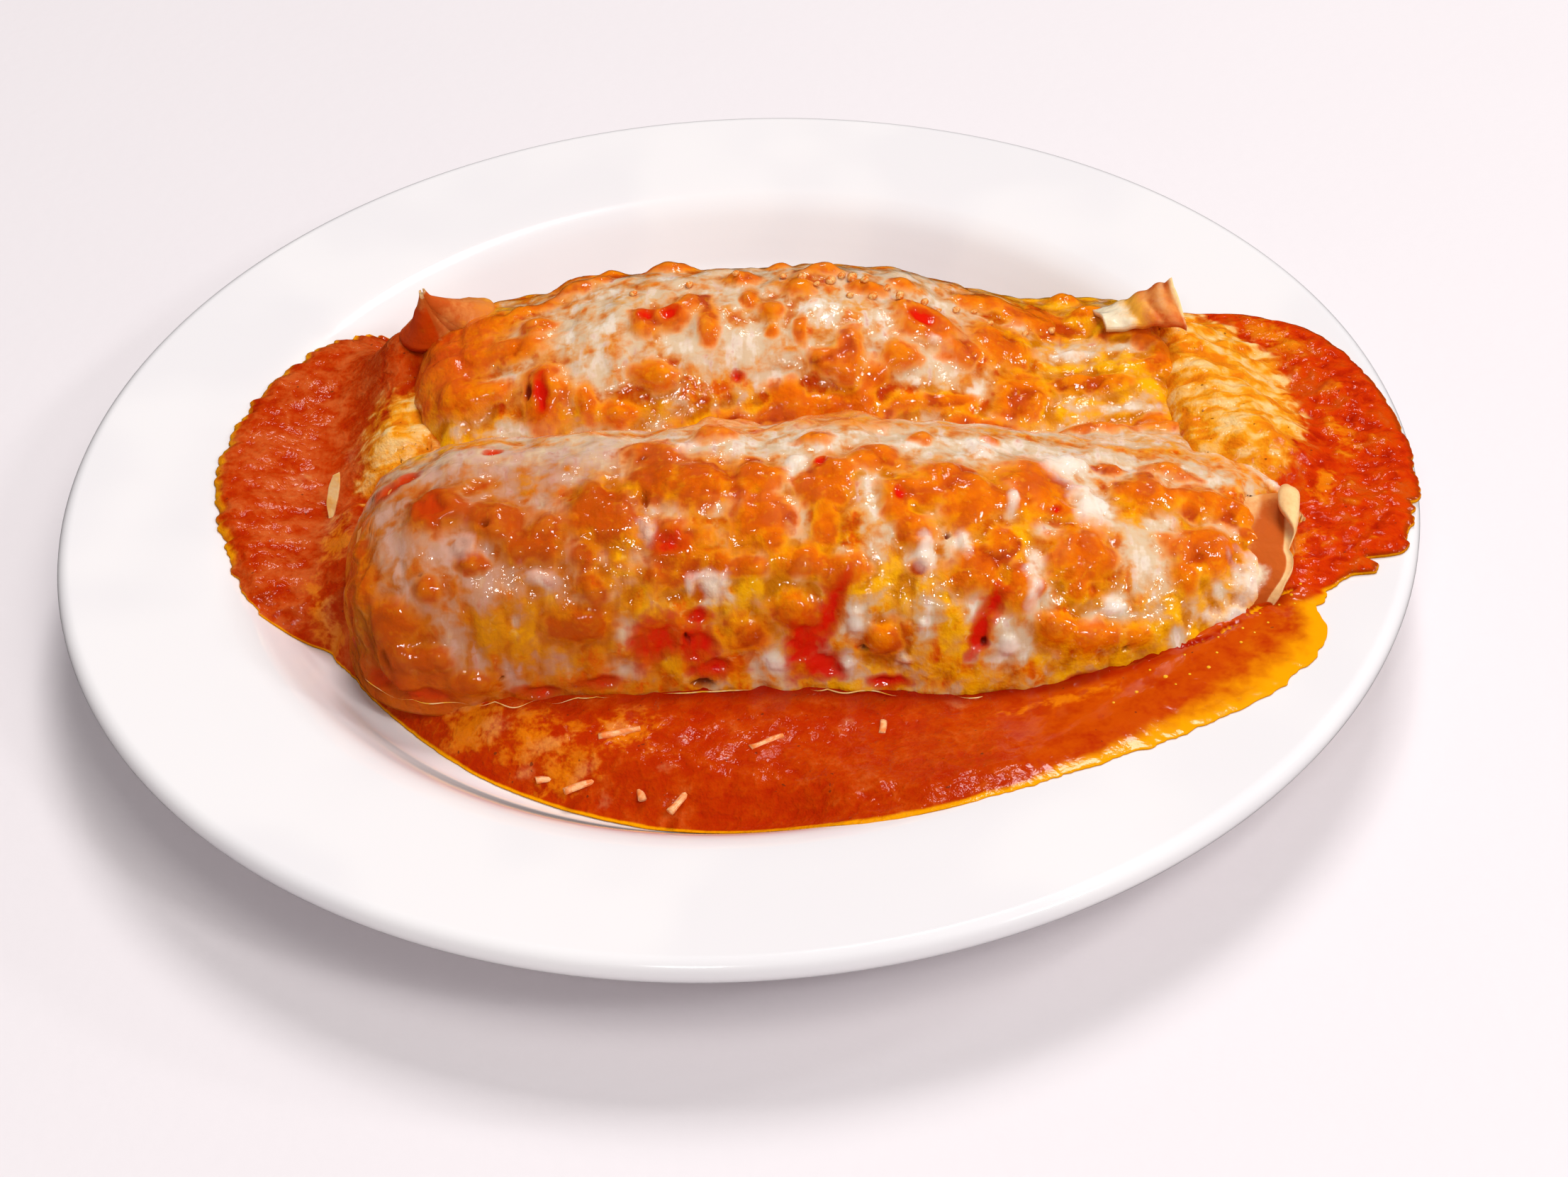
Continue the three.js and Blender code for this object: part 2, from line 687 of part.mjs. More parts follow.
addPiece('plate', plateSolid(), '#f7f5f2', 0.15);
addPiece('tomato_sauce', sauce, '#c2410e', 0.35);
addPiece('roll_front', rollSolid(FRONT_ROLL, 0).subtract(roomForPasta), '#e0b070', 0.55);
addPiece('roll_back', rollSolid(BACK_ROLL, 0).subtract(roomForPasta), '#e0b070', 0.55);
addPiece('melted_cheese', cheese, '#e2a25a', 0.35);
PASTA_PIECES.forEach((piece) => addPiece(piece.name, pastaShape(piece, 0).subtract(bed), '#d9a878', 0.6));

export default group;
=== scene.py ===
"""Two large cannelloni baked under melted cheese, in tomato sauce on a wide-rimmed round dinner plate.

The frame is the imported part's own: origin under the middle of the plate, +Z up, X along the rolls.
Shapes are worked out in millimetres and each finished mesh is scaled to metres.
"""

import itertools
import math

import bmesh
import bpy
import numpy as np
from bpy.props import FloatProperty, FloatVectorProperty, IntProperty, PointerProperty
from mathutils import Matrix, Vector


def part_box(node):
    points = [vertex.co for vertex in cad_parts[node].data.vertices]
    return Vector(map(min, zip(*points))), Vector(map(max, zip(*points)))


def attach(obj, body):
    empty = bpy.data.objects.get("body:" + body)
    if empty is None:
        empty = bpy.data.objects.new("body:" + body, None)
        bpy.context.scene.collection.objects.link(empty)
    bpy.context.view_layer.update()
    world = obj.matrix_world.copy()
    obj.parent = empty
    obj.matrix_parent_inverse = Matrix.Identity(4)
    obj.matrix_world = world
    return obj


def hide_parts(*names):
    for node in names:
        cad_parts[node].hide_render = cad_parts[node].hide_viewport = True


bl_info = {
    "name": "Plate of Cannelloni",
    "version": (1, 0, 0),
    "blender": (4, 5, 0),
    "location": "3D View > Sidebar > Cannelloni",
    "description": "Builds a plate of two cheese-topped cannelloni in tomato sauce",
    "category": "Add Mesh",
}

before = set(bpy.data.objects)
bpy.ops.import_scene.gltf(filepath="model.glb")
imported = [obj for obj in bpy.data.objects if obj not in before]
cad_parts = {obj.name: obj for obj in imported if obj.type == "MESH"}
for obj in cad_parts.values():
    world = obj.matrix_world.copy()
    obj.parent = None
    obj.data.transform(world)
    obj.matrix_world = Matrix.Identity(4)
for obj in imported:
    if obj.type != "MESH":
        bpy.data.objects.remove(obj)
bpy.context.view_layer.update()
MM = 0.001

# Plate, in millimetres.
PLATE_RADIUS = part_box("plate")[1].x / MM
LIP_RADIUS = 2.7
LIP_CENTRE_Z = 23.3
WELL_FLOOR_Z = 9.0
PLATE_TOP = [
    (0, WELL_FLOOR_Z),
    (80, WELL_FLOOR_Z),
    (86, 9.05),
    (90, 9.6),
    (94, 11.3),
    (97, 14),
    (100, 17),
    (104, 20.6),
    (108, 22.6),
    (112, 23.4),
    (122, 24.4),
    (133.5, 25.6),
    (PLATE_RADIUS - LIP_RADIUS, LIP_CENTRE_Z + LIP_RADIUS),
]

# Sauce, in millimetres.
SAUCE_LEVEL = 17.8
EDGE_THICKNESS = 0.35
RIM_FILM = 1.1
CRUST_THICKNESS = 1.1
BANK_START = 76
BANK_END = 114
SHORE = [
    (0, 138.6), (5, 137), (11, 134.6), (16, 130.6), (20.5, 122.6),
    (24.5, 112), (29, 103), (34, 94), (40, 86), (50, 78),
    (70, 66.5), (90, 62.5), (110, 67.5), (122, 79), (131, 95), (141, 100.5), (147, 104.4), (152, 107.2),
    (162, 109.3), (170, 110.3), (179, 109.7), (186, 107), (194, 105), (199, 103), (201.5, 98.5),
    (203.5, 92.5), (208, 90), (216, 89.4), (226, 89.4), (236, 90.5), (246, 91.6), (256, 93.4), (265, 96),
    (273, 100), (281, 105.4), (289, 108), (297, 110.3), (304, 113.4), (312, 118.6), (318, 123), (323, 127),
    (328, 128.6), (331, 127.8), (333, 125.2), (336, 125.4), (338.4, 128), (339.3, 133), (340.2, 133),
    (341, 131), (342, 136), (344, 138.6), (347, 139.4), (351, 139.4), (355, 139.2),
]

# Rolls with their cheese, in millimetres.
BASE_Z = SAUCE_LEVEL - 4
END_POWER = 12
SECTION_POWER = 2.3
RIDGE_BLEND = 9


class Roll:
    """Where a roll lies and how high and wide it is along its length."""

    def __init__(self, left, right, axis, rise, sags, bulge, narrow):
        self.left, self.right, self.axis, self.rise = left, right, axis, rise
        self.sags, self.bulge, self.narrow = sags, bulge, narrow
        self.half_width = 31

    def end_factor(self, x):
        middle = (self.left + self.right) / 2
        share = np.abs(x - middle) / ((self.right - self.left) / 2)
        return np.sqrt(1 - np.minimum(share, 1) ** END_POWER)

    def height(self, x):
        sag = sum(by * smooth((x - start) / (end - start)) for start, end, by in self.sags)
        return (self.rise - sag) * self.end_factor(x)

    def width(self, x, outward):
        middle, spread, by = self.bulge
        swell = by * np.exp(-(((x - middle) / spread) ** 2) / 2)
        start, end, less = self.narrow
        taper = less * smooth((x - start) / (end - start))
        return (self.half_width + np.where(outward, swell - taper, 0)) * self.end_factor(x)

    def point(self, x, turn, grow=0.0):
        """The outside across X at an angle in degrees, 0 towards +Y and 180 towards -Y."""
        c, s = np.cos(np.radians(turn)), np.sin(np.radians(turn))
        outward = np.sign(self.axis) * c > 0
        wide = np.maximum(0.4, self.width(x, outward) + grow)
        tall = np.maximum(0.4, self.height(x) + SAUCE_LEVEL - BASE_Z + grow)
        power = 2 / SECTION_POWER
        y = self.axis + wide * np.sign(c) * np.abs(c) ** power
        return np.stack([x + 0 * turn, y, BASE_Z + tall * np.abs(s) ** power], -1)


def smooth(share):
    share = np.clip(share, 0, 1)
    return share * share * (3 - 2 * share)


def mix(a, b, share):
    return a + (b - a) * share


def smooth_max(a, b, width):
    share = np.maximum(width - np.abs(a - b), 0) / width
    return np.maximum(a, b) + share * share * width / 4


FRONT = Roll(-79.5, 114.5, -31, 32.2, [(-46, -80, 3.2), (15, 112, 15.2)], (55, 22, 6.2), (84, 108, 8))
BACK = Roll(-71.5, 101, 27, 31, [(-15, -55, 6.5), (20, 80, 16.5), (70, 86, -3.2)], (0, 40, 0), (70, 105, 8))


NOISE_ROWS = 4096  # a power of two


def hashed(cell):
    """A row of a seeded table for each cell of a grid in space."""
    key = (cell[..., 0] * 73856093) ^ (cell[..., 1] * 19349663) ^ (cell[..., 2] * 83492791)
    return key & (NOISE_ROWS - 1)


def lumps(points, size, seed):
    """Seeded smooth noise, mostly from -1 to 1, with lumps about size across."""
    slopes = np.random.default_rng(seed).normal(size=(NOISE_ROWS, 3))
    slopes /= np.linalg.norm(slopes, axis=1)[:, None]
    scaled = points / size
    cell = np.floor(scaled).astype(np.int64)
    inside = scaled - cell
    ease = inside**3 * (inside * (inside * 6 - 15) + 10)
    total = np.zeros(points.shape[:-1])
    for corner in itertools.product((0, 1), repeat=3):
        at = cell + corner
        value = np.sum(slopes[hashed(at)] * (inside - corner), axis=-1)
        total += value * np.prod(np.where(corner, ease, 1 - ease), axis=-1)
    return 1.9 * total


def billows(points, size, seed):
    """Rounded lumps with creases between them, from 0 to about 1."""
    return np.abs(lumps(points, size, seed))


def bubbles(points, size, seed):
    """Round domes packed side by side with creases between them, from 0 to 1."""
    spots = np.random.default_rng(seed).uniform(0.1, 0.9, (NOISE_ROWS, 3))
    scaled = points / size
    cell = np.floor(scaled).astype(np.int64)
    nearest = np.full(points.shape[:-1], 4.0)
    for corner in itertools.product((-1, 0, 1), repeat=3):
        at = cell + corner
        nearest = np.minimum(nearest, np.sum((scaled - at - spots[hashed(at)]) ** 2, axis=-1))
    return np.sqrt(np.clip(1 - 1.7 * nearest, 0, 1))


def valley_height(x, y):
    middle = 20
    right = 108 - 0.42 * y
    left = mix(-80, -67, smooth((y + 8) / 24))
    share = np.where(x < middle, (middle - x) / (middle - left), (x - middle) / (right - middle))
    rise = mix(10.5, 13, smooth((x - 50) / 40))
    power = np.where(x < middle, 6, 9)
    end = np.sqrt(1 - np.clip(share, 0, 1) ** power)
    return BASE_Z + (SAUCE_LEVEL - BASE_Z + rise) * end


def sheet_height(x, y):
    """The cheese between the two ridges, where it hangs across the valley."""
    sides = []
    for roll in (FRONT, BACK):
        across = np.minimum(1, np.abs(y - roll.axis) / np.maximum(0.4, roll.width(x, False)))
        above = roll.height(x) + SAUCE_LEVEL - BASE_Z
        sides.append(BASE_Z + above * (1 - across**SECTION_POWER) ** (1 / SECTION_POWER))
    return smooth_max(smooth_max(sides[0], sides[1], RIDGE_BLEND), valley_height(x, y), RIDGE_BLEND)


def cheese_point(x, v, grow=0.0):
    """The cheese's outside: v 0 to 1 up the front, 1 to 2 from ridge to ridge, 2 to 3 down the back."""
    x, v = np.broadcast_arrays(np.asarray(x, float), np.asarray(v, float))
    front = FRONT.point(x, 180 - 90 * np.clip(v, 0, 1), grow)
    back = BACK.point(x, 90 * (3 - np.clip(v, 2, 3)), grow)
    y = mix(FRONT.axis, BACK.axis, np.clip(v, 1, 2) - 1)
    middle = np.stack([x, y, sheet_height(x, y) + grow], -1)
    share = v[..., None]
    return np.where(share < 1, front, np.where(share > 2, back, middle))


def tangents(surface, a, b, step_a, step_b):
    """A point of a surface, and its unit directions along a, along b and outwards."""
    along = surface(a + step_a, b) - surface(a - step_a, b)
    across = surface(a, b + step_b) - surface(a, b - step_b)
    along /= np.maximum(1e-9, np.linalg.norm(along, axis=-1, keepdims=True))
    across /= np.maximum(1e-9, np.linalg.norm(across, axis=-1, keepdims=True))
    out = np.cross(along, across)
    out /= np.maximum(1e-9, np.linalg.norm(out, axis=-1, keepdims=True))
    return surface(a, b), along, across, out


def cover(points, strokes, surface, step_b, swell=1.0):
    """How far inside the nearest stroke each point is: 1 in a stroke's middle, 0 at its edge, less outside.

    A stroke is its place on the surface, its half length, its half width and its turn in degrees."""
    best = np.full(points.shape[:-1], -1.0)
    for a, b, length, width, turn in strokes:
        middle, along, across, out = tangents(surface, np.float64(a), np.float64(b), 0.5, step_b)
        off = (points - middle) / swell
        c, s = math.cos(math.radians(turn)), math.sin(math.radians(turn))
        p = off @ (c * along + s * across) / length
        q = off @ (c * across - s * along) / width
        depth = off @ out / (2 * max(length, width))
        best = np.maximum(best, 1 - np.sqrt(p * p + q * q + depth * depth))
    return best


def scattered(seed, count, a_span, b_span, sizes, stretch=1.0):
    """Seeded strokes strewn over part of a surface, stretch times as wide as long."""
    draw = np.random.default_rng(seed)
    return [
        (draw.uniform(*a_span), draw.uniform(*b_span), size, size * stretch, draw.uniform(-25, 25))
        for size in draw.uniform(*sizes, count)
    ]


def blurred(values, reach):
    """Each number's mean over a square of its neighbours on the grid."""
    width = 2 * reach + 1
    for axis in (0, 1):
        lines = np.moveaxis(values, axis, -1)
        first, last = np.repeat(lines[..., :1], reach + 1, -1), np.repeat(lines[..., -1:], reach, -1)
        total = np.cumsum(np.concatenate([first, lines, last], -1), axis=-1)
        values = np.moveaxis((total[..., width:] - total[..., :-width]) / width, -1, axis)
    return values


def grid_mesh(columns, rows):
    """A flat grid of faces, and the shares of its points across the columns and the rows."""
    bm = bmesh.new()
    bmesh.ops.create_grid(bm, x_segments=columns, y_segments=rows, size=0.5)
    u, v = np.meshgrid(np.linspace(0, 1, columns + 1), np.linspace(0, 1, rows + 1))
    return bm, u, v


def move_to(bm, places):
    for vertex, place in zip(bm.verts, places.reshape(-1, 3)):
        vertex.co = place


def keep_values(bm, values):
    """Stores named arrays of numbers on the first vertices, for the material to read."""
    for name in values:
        bm.verts.layers.float.new(name)
    for name, numbers in values.items():
        layer = bm.verts.layers.float[name]
        for vertex, number in zip(bm.verts, np.ravel(numbers)):
            vertex[layer] = number


def keep_uv(bm, faces, uv_of):
    layer = bm.loops.layers.uv.new("drape")
    for face in faces:
        for loop in face.loops:
            loop[layer].uv = uv_of[loop.vert.index]


def finish_piece(bm, name, material, replaced=()):
    """Scales a mesh to metres and makes it a smooth, riding object of the scene."""
    bmesh.ops.recalc_face_normals(bm, faces=bm.faces[:])
    if bm.calc_volume(signed=True) < 0:
        bmesh.ops.reverse_faces(bm, faces=bm.faces[:])
    bmesh.ops.scale(bm, vec=(MM, MM, MM), verts=bm.verts[:])
    for face in bm.faces:
        face.smooth = True
    mesh = bpy.data.meshes.new(name)
    bm.to_mesh(mesh)
    bm.free()
    mesh.materials.append(material)
    piece = bpy.data.objects.new(name, mesh)
    bpy.context.scene.collection.objects.link(piece)
    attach(piece, "root")
    if replaced:
        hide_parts(*replaced)
    return piece


class Recipe:
    """The nodes of one material, added and linked by short calls."""

    def __init__(self, name):
        self.material = bpy.data.materials.new(name)
        self.material.use_nodes = True
        self.tree = self.material.node_tree
        self.tree.nodes.clear()
        self.place = self.node("ShaderNodeTexCoord").outputs["Object"]

    def node(self, kind, sockets=None, **settings):
        made = self.tree.nodes.new(kind)
        for name, value in settings.items():
            setattr(made, name, value)
        for key, value in (sockets or {}).items():
            if isinstance(value, bpy.types.NodeSocket):
                self.tree.links.new(value, made.inputs[key])
            else:
                made.inputs[key].default_value = value
        return made

    def value(self, name):
        return self.node("ShaderNodeAttribute", attribute_name=name).outputs["Fac"]

    def drape(self, stretch_x, stretch_y):
        """The piece's UV map in millimetres, squeezed so that a pattern runs down the surface."""
        uv = self.node("ShaderNodeUVMap", uv_map="drape").outputs["UV"]
        scale = (1 / stretch_x, 1 / stretch_y, 1)
        return self.node("ShaderNodeMapping", {"Vector": uv, "Scale": scale}).outputs[0]

    def stretched(self, x, y, z):
        """The place in units of so many millimetres along each axis, for patterns that run one way."""
        scale = (1 / (x * MM), 1 / (y * MM), 1 / (z * MM))
        return self.node("ShaderNodeMapping", {"Vector": self.place, "Scale": scale}).outputs[0]

    def noise(self, size, detail=2.0, warp=0.0, where=None):
        """Cloudy noise with lumps about size millimetres across."""
        scale = 1 / (size * MM) if where is None else 1 / size
        sockets = {"Vector": where or self.place, "Scale": scale, "Detail": detail, "Distortion": warp}
        return self.node("ShaderNodeTexNoise", sockets).outputs[0]

    def calc(self, operation, a, b=0.0):
        return self.node("ShaderNodeMath", {0: a, 1: b}, operation=operation).outputs[0]

    def plus(self, first, *weighted):
        """First plus each (value, weight)."""
        total = first
        for value, weight in weighted:
            sockets = {0: value, 1: weight, 2: total}
            total = self.node("ShaderNodeMath", sockets, operation="MULTIPLY_ADD").outputs[0]
        return total

    def times(self, a, b):
        return self.calc("MULTIPLY", a, b)

    def step(self, value, low, high, to_low=0.0, to_high=1.0):
        sockets = {0: value, 1: low, 2: high, 3: to_low, 4: to_high}
        return self.node("ShaderNodeMapRange", sockets, interpolation_type="SMOOTHSTEP").outputs[0]

    def blend(self, share, first, second):
        sockets = {0: share, 6: colour_of(first), 7: colour_of(second)}
        return self.node("ShaderNodeMix", sockets, data_type="RGBA").outputs[2]

    def bump(self, height, depth, normal=None):
        """A bump whose height of 1 stands for depth millimetres."""
        sockets = {"Height": height, "Distance": depth * MM, "Strength": 1.0}
        if normal is not None:
            sockets["Normal"] = normal
        return self.node("ShaderNodeBump", sockets).outputs[0]

    def finish(self, **sockets):
        named = {key.replace("_", " "): value for key, value in sockets.items()}
        shader = self.node("ShaderNodeBsdfPrincipled", named)
        self.node("ShaderNodeOutputMaterial", {"Surface": shader.outputs[0]})
        return self.material


def colour_of(value):
    """A colour socket as it is, or the red, green and blue of a colour with its alpha."""
    return value if isinstance(value, bpy.types.NodeSocket) else (*value[:3], 1.0)


def linear(red, green, blue):
    """A colour given as it looks on screen, 0 to 255, in the renderer's own linear scale."""
    shares = [channel / 255 for channel in (red, green, blue)]
    return tuple(s / 12.92 if s <= 0.04045 else ((s + 0.055) / 1.055) ** 2.4 for s in shares)


def colour(name, rgb):
    return FloatVectorProperty(
        name=name, description=f"Colour of the {name.lower()}", subtype="COLOR", size=3, min=0, max=1,
        default=linear(*rgb),
    )


def length(name, description, millimetres):
    return FloatProperty(name=name, description=description, default=millimetres * MM, unit="LENGTH", min=0)


class PlateLook(bpy.types.PropertyGroup):
    segments: IntProperty(name="Segments", description="Steps round the plate", default=256, min=32)
    glaze: colour("Glaze", (244, 240, 241))
    shade: colour("Glaze in its faint clouds", (239, 235, 237))


class SauceLook(bpy.types.PropertyGroup):
    red: colour("Sauce", (182, 42, 0))
    orange: colour("Sauce with more oil", (204, 76, 0))
    # Deep red: darker patches on the crust, and painted shade in the sauce's low places and its pits
    deep: colour("Sauce in its hollows", (168, 18, 0))
    bright: colour("Sauce baked onto the rim", (222, 56, 0))
    oil: colour("Oil along the shore", (248, 160, 0))
    # Also laid on the tops of the crust's knobs as a painted highlight
    gold: colour("Oily cheese in the sauce", (250, 150, 10))
    amber: colour("Browned streaks of the cheese at the ends", (228, 104, 4))
    milky: colour("White streaks of the cheese at the ends", (248, 214, 150))
    melted: colour("Melted cheese on the sauce", (250, 168, 26))
    cream: colour("Cheese stirred into the sauce", (248, 196, 130))
    char: colour("Browned crust", (150, 50, 0))
    speck: colour("Herb specks", (96, 40, 20))


class CheeseLook(bpy.types.PropertyGroup):
    thickness: length("Thickness", "Thickness of the cheese over the rolls", 2.8)
    ember: colour("Clear cheese over sauce", (214, 62, 0))
    amber: colour("Clear melted cheese", (234, 104, 0))
    # Melted cheese with more oil, and also a painted highlight on the tops of the blister bumps
    honey_and_highlight: colour("Melted cheese with more oil", (244, 140, 0))
    gold: colour("Oily golden cheese", (255, 180, 4))
    straw: colour("Bits of paler cheese", (255, 208, 112))
    halo: colour("Edges of the milky cheese", (226, 152, 78))
    veil: colour("Milky cheese", (224, 196, 162))
    cream: colour("Thick white cheese", (250, 234, 218))
    orange: colour("Browned blisters", (232, 106, 0))
    # Darker browned spots, and also painted shade in the blisters' low places and towards the left end
    rust_and_shade: colour("Darker browned spots", (196, 60, 0))
    red: colour("Sauce through the cheese", (226, 18, 0))
    # painted shade: the dark red-brown laid into the creases between the blisters
    crease: colour("Creases between the blisters", (164, 32, 0))
    dark: colour("Dark hollows", (110, 14, 0))
    # painted shade: the front roll darker towards its left end, where less light falls, and partly the
    # cheese's own browner tone there
    shade: colour("Thin cheese at the left end", (180, 74, 6))
    sauced: colour("Cheese soaked with sauce", (214, 80, 14))


class PastaLook(bpy.types.PropertyGroup):
    thickness: length("Thickness", "Thickness of a pasta sheet", 1.2)
    tan: colour("Baked pasta", (228, 140, 68))
    pale: colour("Pale edge of the pasta", (255, 214, 152))
    brown: colour("Browned pasta", (200, 92, 30))
    sauced: colour("Pasta stained by sauce", (206, 66, 2))
    glow: colour("Golden wet pasta", (255, 178, 56))
    milk: colour("Cheese run over the pasta", (255, 234, 200))


class ScrapLook(bpy.types.PropertyGroup):
    shred: colour("Shreds of cheese", (250, 186, 130))
    stain: colour("Sauce on the shreds", (240, 130, 60))
    crumb: colour("Crumbs", (236, 120, 16))
    dust: colour("Pale side of the crumbs", (252, 196, 120))
    oil: colour("Drops of oil", (250, 178, 30))
    # A thin pale lip of cheese, its paleness partly a painted highlight along the lower edge
    film_and_highlight: colour("Bright edge of the cheese", (255, 214, 150))


class StageLook(bpy.types.PropertyGroup):
    floor: colour("Floor", (236, 229, 232))
    focal: FloatProperty(name="Focal length", description="Lens in millimetres", default=60.0, min=1)
    distance: length("Camera distance", "From the middle of the plate to the camera", 515.699)
    elevation: FloatProperty(
        name="Elevation", description="Camera above the table", default=math.radians(40.471), subtype="ANGLE",
    )
    roll: FloatProperty(
        name="Roll", description="Turn of the camera about its view", default=math.radians(-3.016),
        subtype="ANGLE",
    )
    sky: FloatProperty(name="Sky", description="Strength of the white surroundings", default=0.3, min=0)
    key: FloatProperty(name="Back light", description="Power of the light behind the plate", default=51,
                       unit="POWER")
    fill: FloatProperty(name="Front light", description="Power of the light on the right", default=48,
                        unit="POWER")
    spark: FloatProperty(name="Sparkle", description="Power of each small bright light", default=1.4,
                         unit="POWER")


def plate_height(radius):
    radii, heights = zip(*PLATE_TOP)
    return np.interp(radius, radii, heights)


def rounded_line(points, steps):
    """A smooth line through points, with steps pieces between each two."""
    spots = np.array([points[0], *points, points[-1]], float)
    line = []
    for k in range(1, len(spots) - 2):
        p0, p1, p2, p3 = spots[k - 1 : k + 3]
        for step in range(steps):
            t = step / steps
            line.append(
                0.5 * (2 * p1 + (p2 - p0) * t + (2 * p0 - 5 * p1 + 4 * p2 - p3) * t**2
                       + (3 * p1 - p0 - 3 * p2 + p3) * t**3)
            )
    return [*line, spots[-1]]


def arc(centre, radius, start, end, steps):
    turns = np.radians(np.linspace(start, end, steps + 1))
    return [(centre[0] + radius * math.cos(t), centre[1] + radius * math.sin(t)) for t in turns]


def plate_material(look):
    r = Recipe("white_porcelain")
    cloud = r.step(r.noise(38, detail=1.5), 0.4, 0.62)
    tone = r.blend(cloud, look.glaze, look.shade)
    wave = r.bump(r.noise(16, detail=1), 0.05)
    pits = r.bump(r.step(r.noise(1.3, detail=1), 0.2, 0.34), 0.006, wave)
    return r.finish(
        Base_Color=tone, Roughness=r.step(cloud, 0, 1, 0.12, 0.17), Normal=pits, Coat_Weight=0.35,
        Coat_Roughness=0.06, IOR=1.5,
    )


class CANNELLONI_OT_plate(bpy.types.Operator):
    """Turns the wide-rimmed porcelain plate with its rounded lip and foot ring"""

    bl_idname = "cannelloni.plate"
    bl_label = "Plate"

    def execute(self, context):
        look = context.scene.cannelloni_plate
        lip = arc((PLATE_RADIUS - LIP_RADIUS, LIP_CENTRE_Z), LIP_RADIUS, 80, -62, 10)
        under = [(133, 20.4), (115, 18.6), (106, 15.6), (97, 7.6), (90, 4.9), (84.5, 4)]
        foot = [*arc((81, 1), 1, 10, -90, 4), *arc((76.5, 1), 1, -90, -190, 4)]
        inner = [(73, 4), (60, 4.3), (0, 4.3)]
        outline = [*rounded_line(PLATE_TOP, 4), *lip, *rounded_line(under, 4), *foot, *inner]
        bm = bmesh.new()
        points = [bm.verts.new((r, 0, z)) for r, z in outline]
        edges = [bm.edges.new(pair) for pair in zip(points, points[1:])]
        bmesh.ops.spin(
            bm, geom=[*points, *edges], cent=(0, 0, 0), axis=(0, 0, 1), angle=2 * math.pi,
            steps=look.segments, use_merge=True,
        )
        bmesh.ops.remove_doubles(bm, verts=bm.verts[:], dist=1e-3)
        piece = finish_piece(bm, "dinner_plate", plate_material(look), ["plate"])
        piece.visible_glossy = False
        return {"FINISHED"}


def shore_line(angles):
    """The radius of the sauce's shore at angles in degrees, with its ragged teeth."""
    corners = [(r * math.cos(math.radians(a)), r * math.sin(math.radians(a))) for a, r in SHORE]
    line = np.array(rounded_line([*corners[-2:], *corners, *corners[:3]], 12))
    turns = np.unwrap(np.arctan2(line[:, 1], line[:, 0]))
    radius = np.interp(np.radians(angles), turns, np.hypot(line[:, 0], line[:, 1]))
    signed = np.where(angles > 180, angles - 360, angles)
    circle = 140 * np.stack([np.cos(np.radians(angles)), np.sin(np.radians(angles)), 0 * angles], -1)
    crust = smooth((signed + 29) / 4) * mix(1, 0.3, smooth((signed + 8) / 8)) * smooth((45 - signed) / 12)
    lobes = 2.0 * bubbles(circle, 4.4, 41) + 0.9 * bubbles(circle, 2.2, 42) - 2.1
    left = smooth((angles - 125) / 15) * smooth((215 - angles) / 15)
    pool = smooth((angles - 290) / 10) * smooth((332 - angles) / 8)
    fine = lumps(circle, 6, 43) + 0.6 * lumps(circle, 2.2, 44)
    return radius + crust * lobes + (0.9 * left + 0.8 * pool + 0.15) * fine


def crust_share(x, y):
    """How much of the baked, lumpy crust there is: on the right and, lower, on the left."""
    turn = np.degrees(np.arctan2(y, x))
    right = smooth((turn + 28) / 8) * smooth((50 - turn) / 15)
    left = smooth((np.abs(turn) - 130) / 15)
    return right, left


def pool_share(x, y):
    """Where the sauce is a smooth oily pool: in front of the rolls, on the right."""
    return smooth((x - 34) / 30) * smooth((-20 - y) / 24)


def melt_share(x, y):
    """How much cheese runs from the rolls' ends onto the sauce."""
    reach = np.interp(y, [-34, -24, -12, 0, 22, 36, 50], [105, 114, 121, 123.5, 122, 115, 103])
    right = smooth((x - 84) / 10) * smooth((reach - x) / 11) * smooth((y + 36) / 6) * smooth((52 - y) / 8)
    left = 0.8 * smooth((x + 86) / 14) * smooth((-60 - x) / 6) * smooth((y + 16) / 10) * smooth((34 - y) / 20)
    return right + left


def end_mounds(x, y):
    """Cheese and sauce heaped against the rolls' ends."""
    right = 11.5 * smooth((124 - x - 0.25 * y) / 25) * smooth((x - 84) / 10)
    right = right * smooth((y + 26) / 14) * smooth((41 - y) / 12)
    back = 13 * np.exp(-((np.maximum(-71 - x, 0) / 10) ** 2)) * smooth((y + 12) / 22) * smooth((54 - y) / 14)
    corner = 4 * np.exp(-((x + 69) ** 2 + (y - 37) ** 2) / 70)
    low = 7 * np.exp(-((np.maximum(-78 - x, 0) / 6) ** 2)) * smooth((y + 60) / 20) * smooth((6 - y) / 16)
    return right + smooth((-40 - x) / 14) * np.maximum(back + corner, low)


def sauce_height(x, y, shore):
    """The height of the sauce, and how far inland a place is: 0 at the shore, 1 where the sauce is full."""
    radius = np.hypot(x, y)
    bed = plate_height(radius)
    right, left = crust_share(x, y)
    crust = CRUST_THICKNESS * np.maximum(right, left)
    bank_end = np.minimum(shore, BANK_END)
    bank_top = plate_height(bank_end) + 1.2 + crust
    climb = smooth((shore - 99) / 6) * smooth((radius - BANK_START) / (bank_end - BANK_START))
    bank = mix(SAUCE_LEVEL, bank_top, climb)
    full = np.maximum(bank - bed, RIM_FILM + crust)
    width = np.maximum(mix(7, 10, smooth((90 - shore) / 15)), 13 * pool_share(x, y) * (1 - right))
    turn = np.degrees(np.arctan2(y, x))
    front = smooth((turn + 165) / 12) * smooth((-62 - turn) / 20)
    width = mix(mix(mix(width, 3.5, left), 6.5, right), 13, front)
    inland = np.clip((shore - radius) / width, 0, 1)
    edge = EDGE_THICKNESS + 0.2 * crust
    full = full + end_mounds(x, y)
    return bed + edge + (full - edge) * (1 - (1 - inland) ** 2) ** mix(0.75, 1.15, front), inland


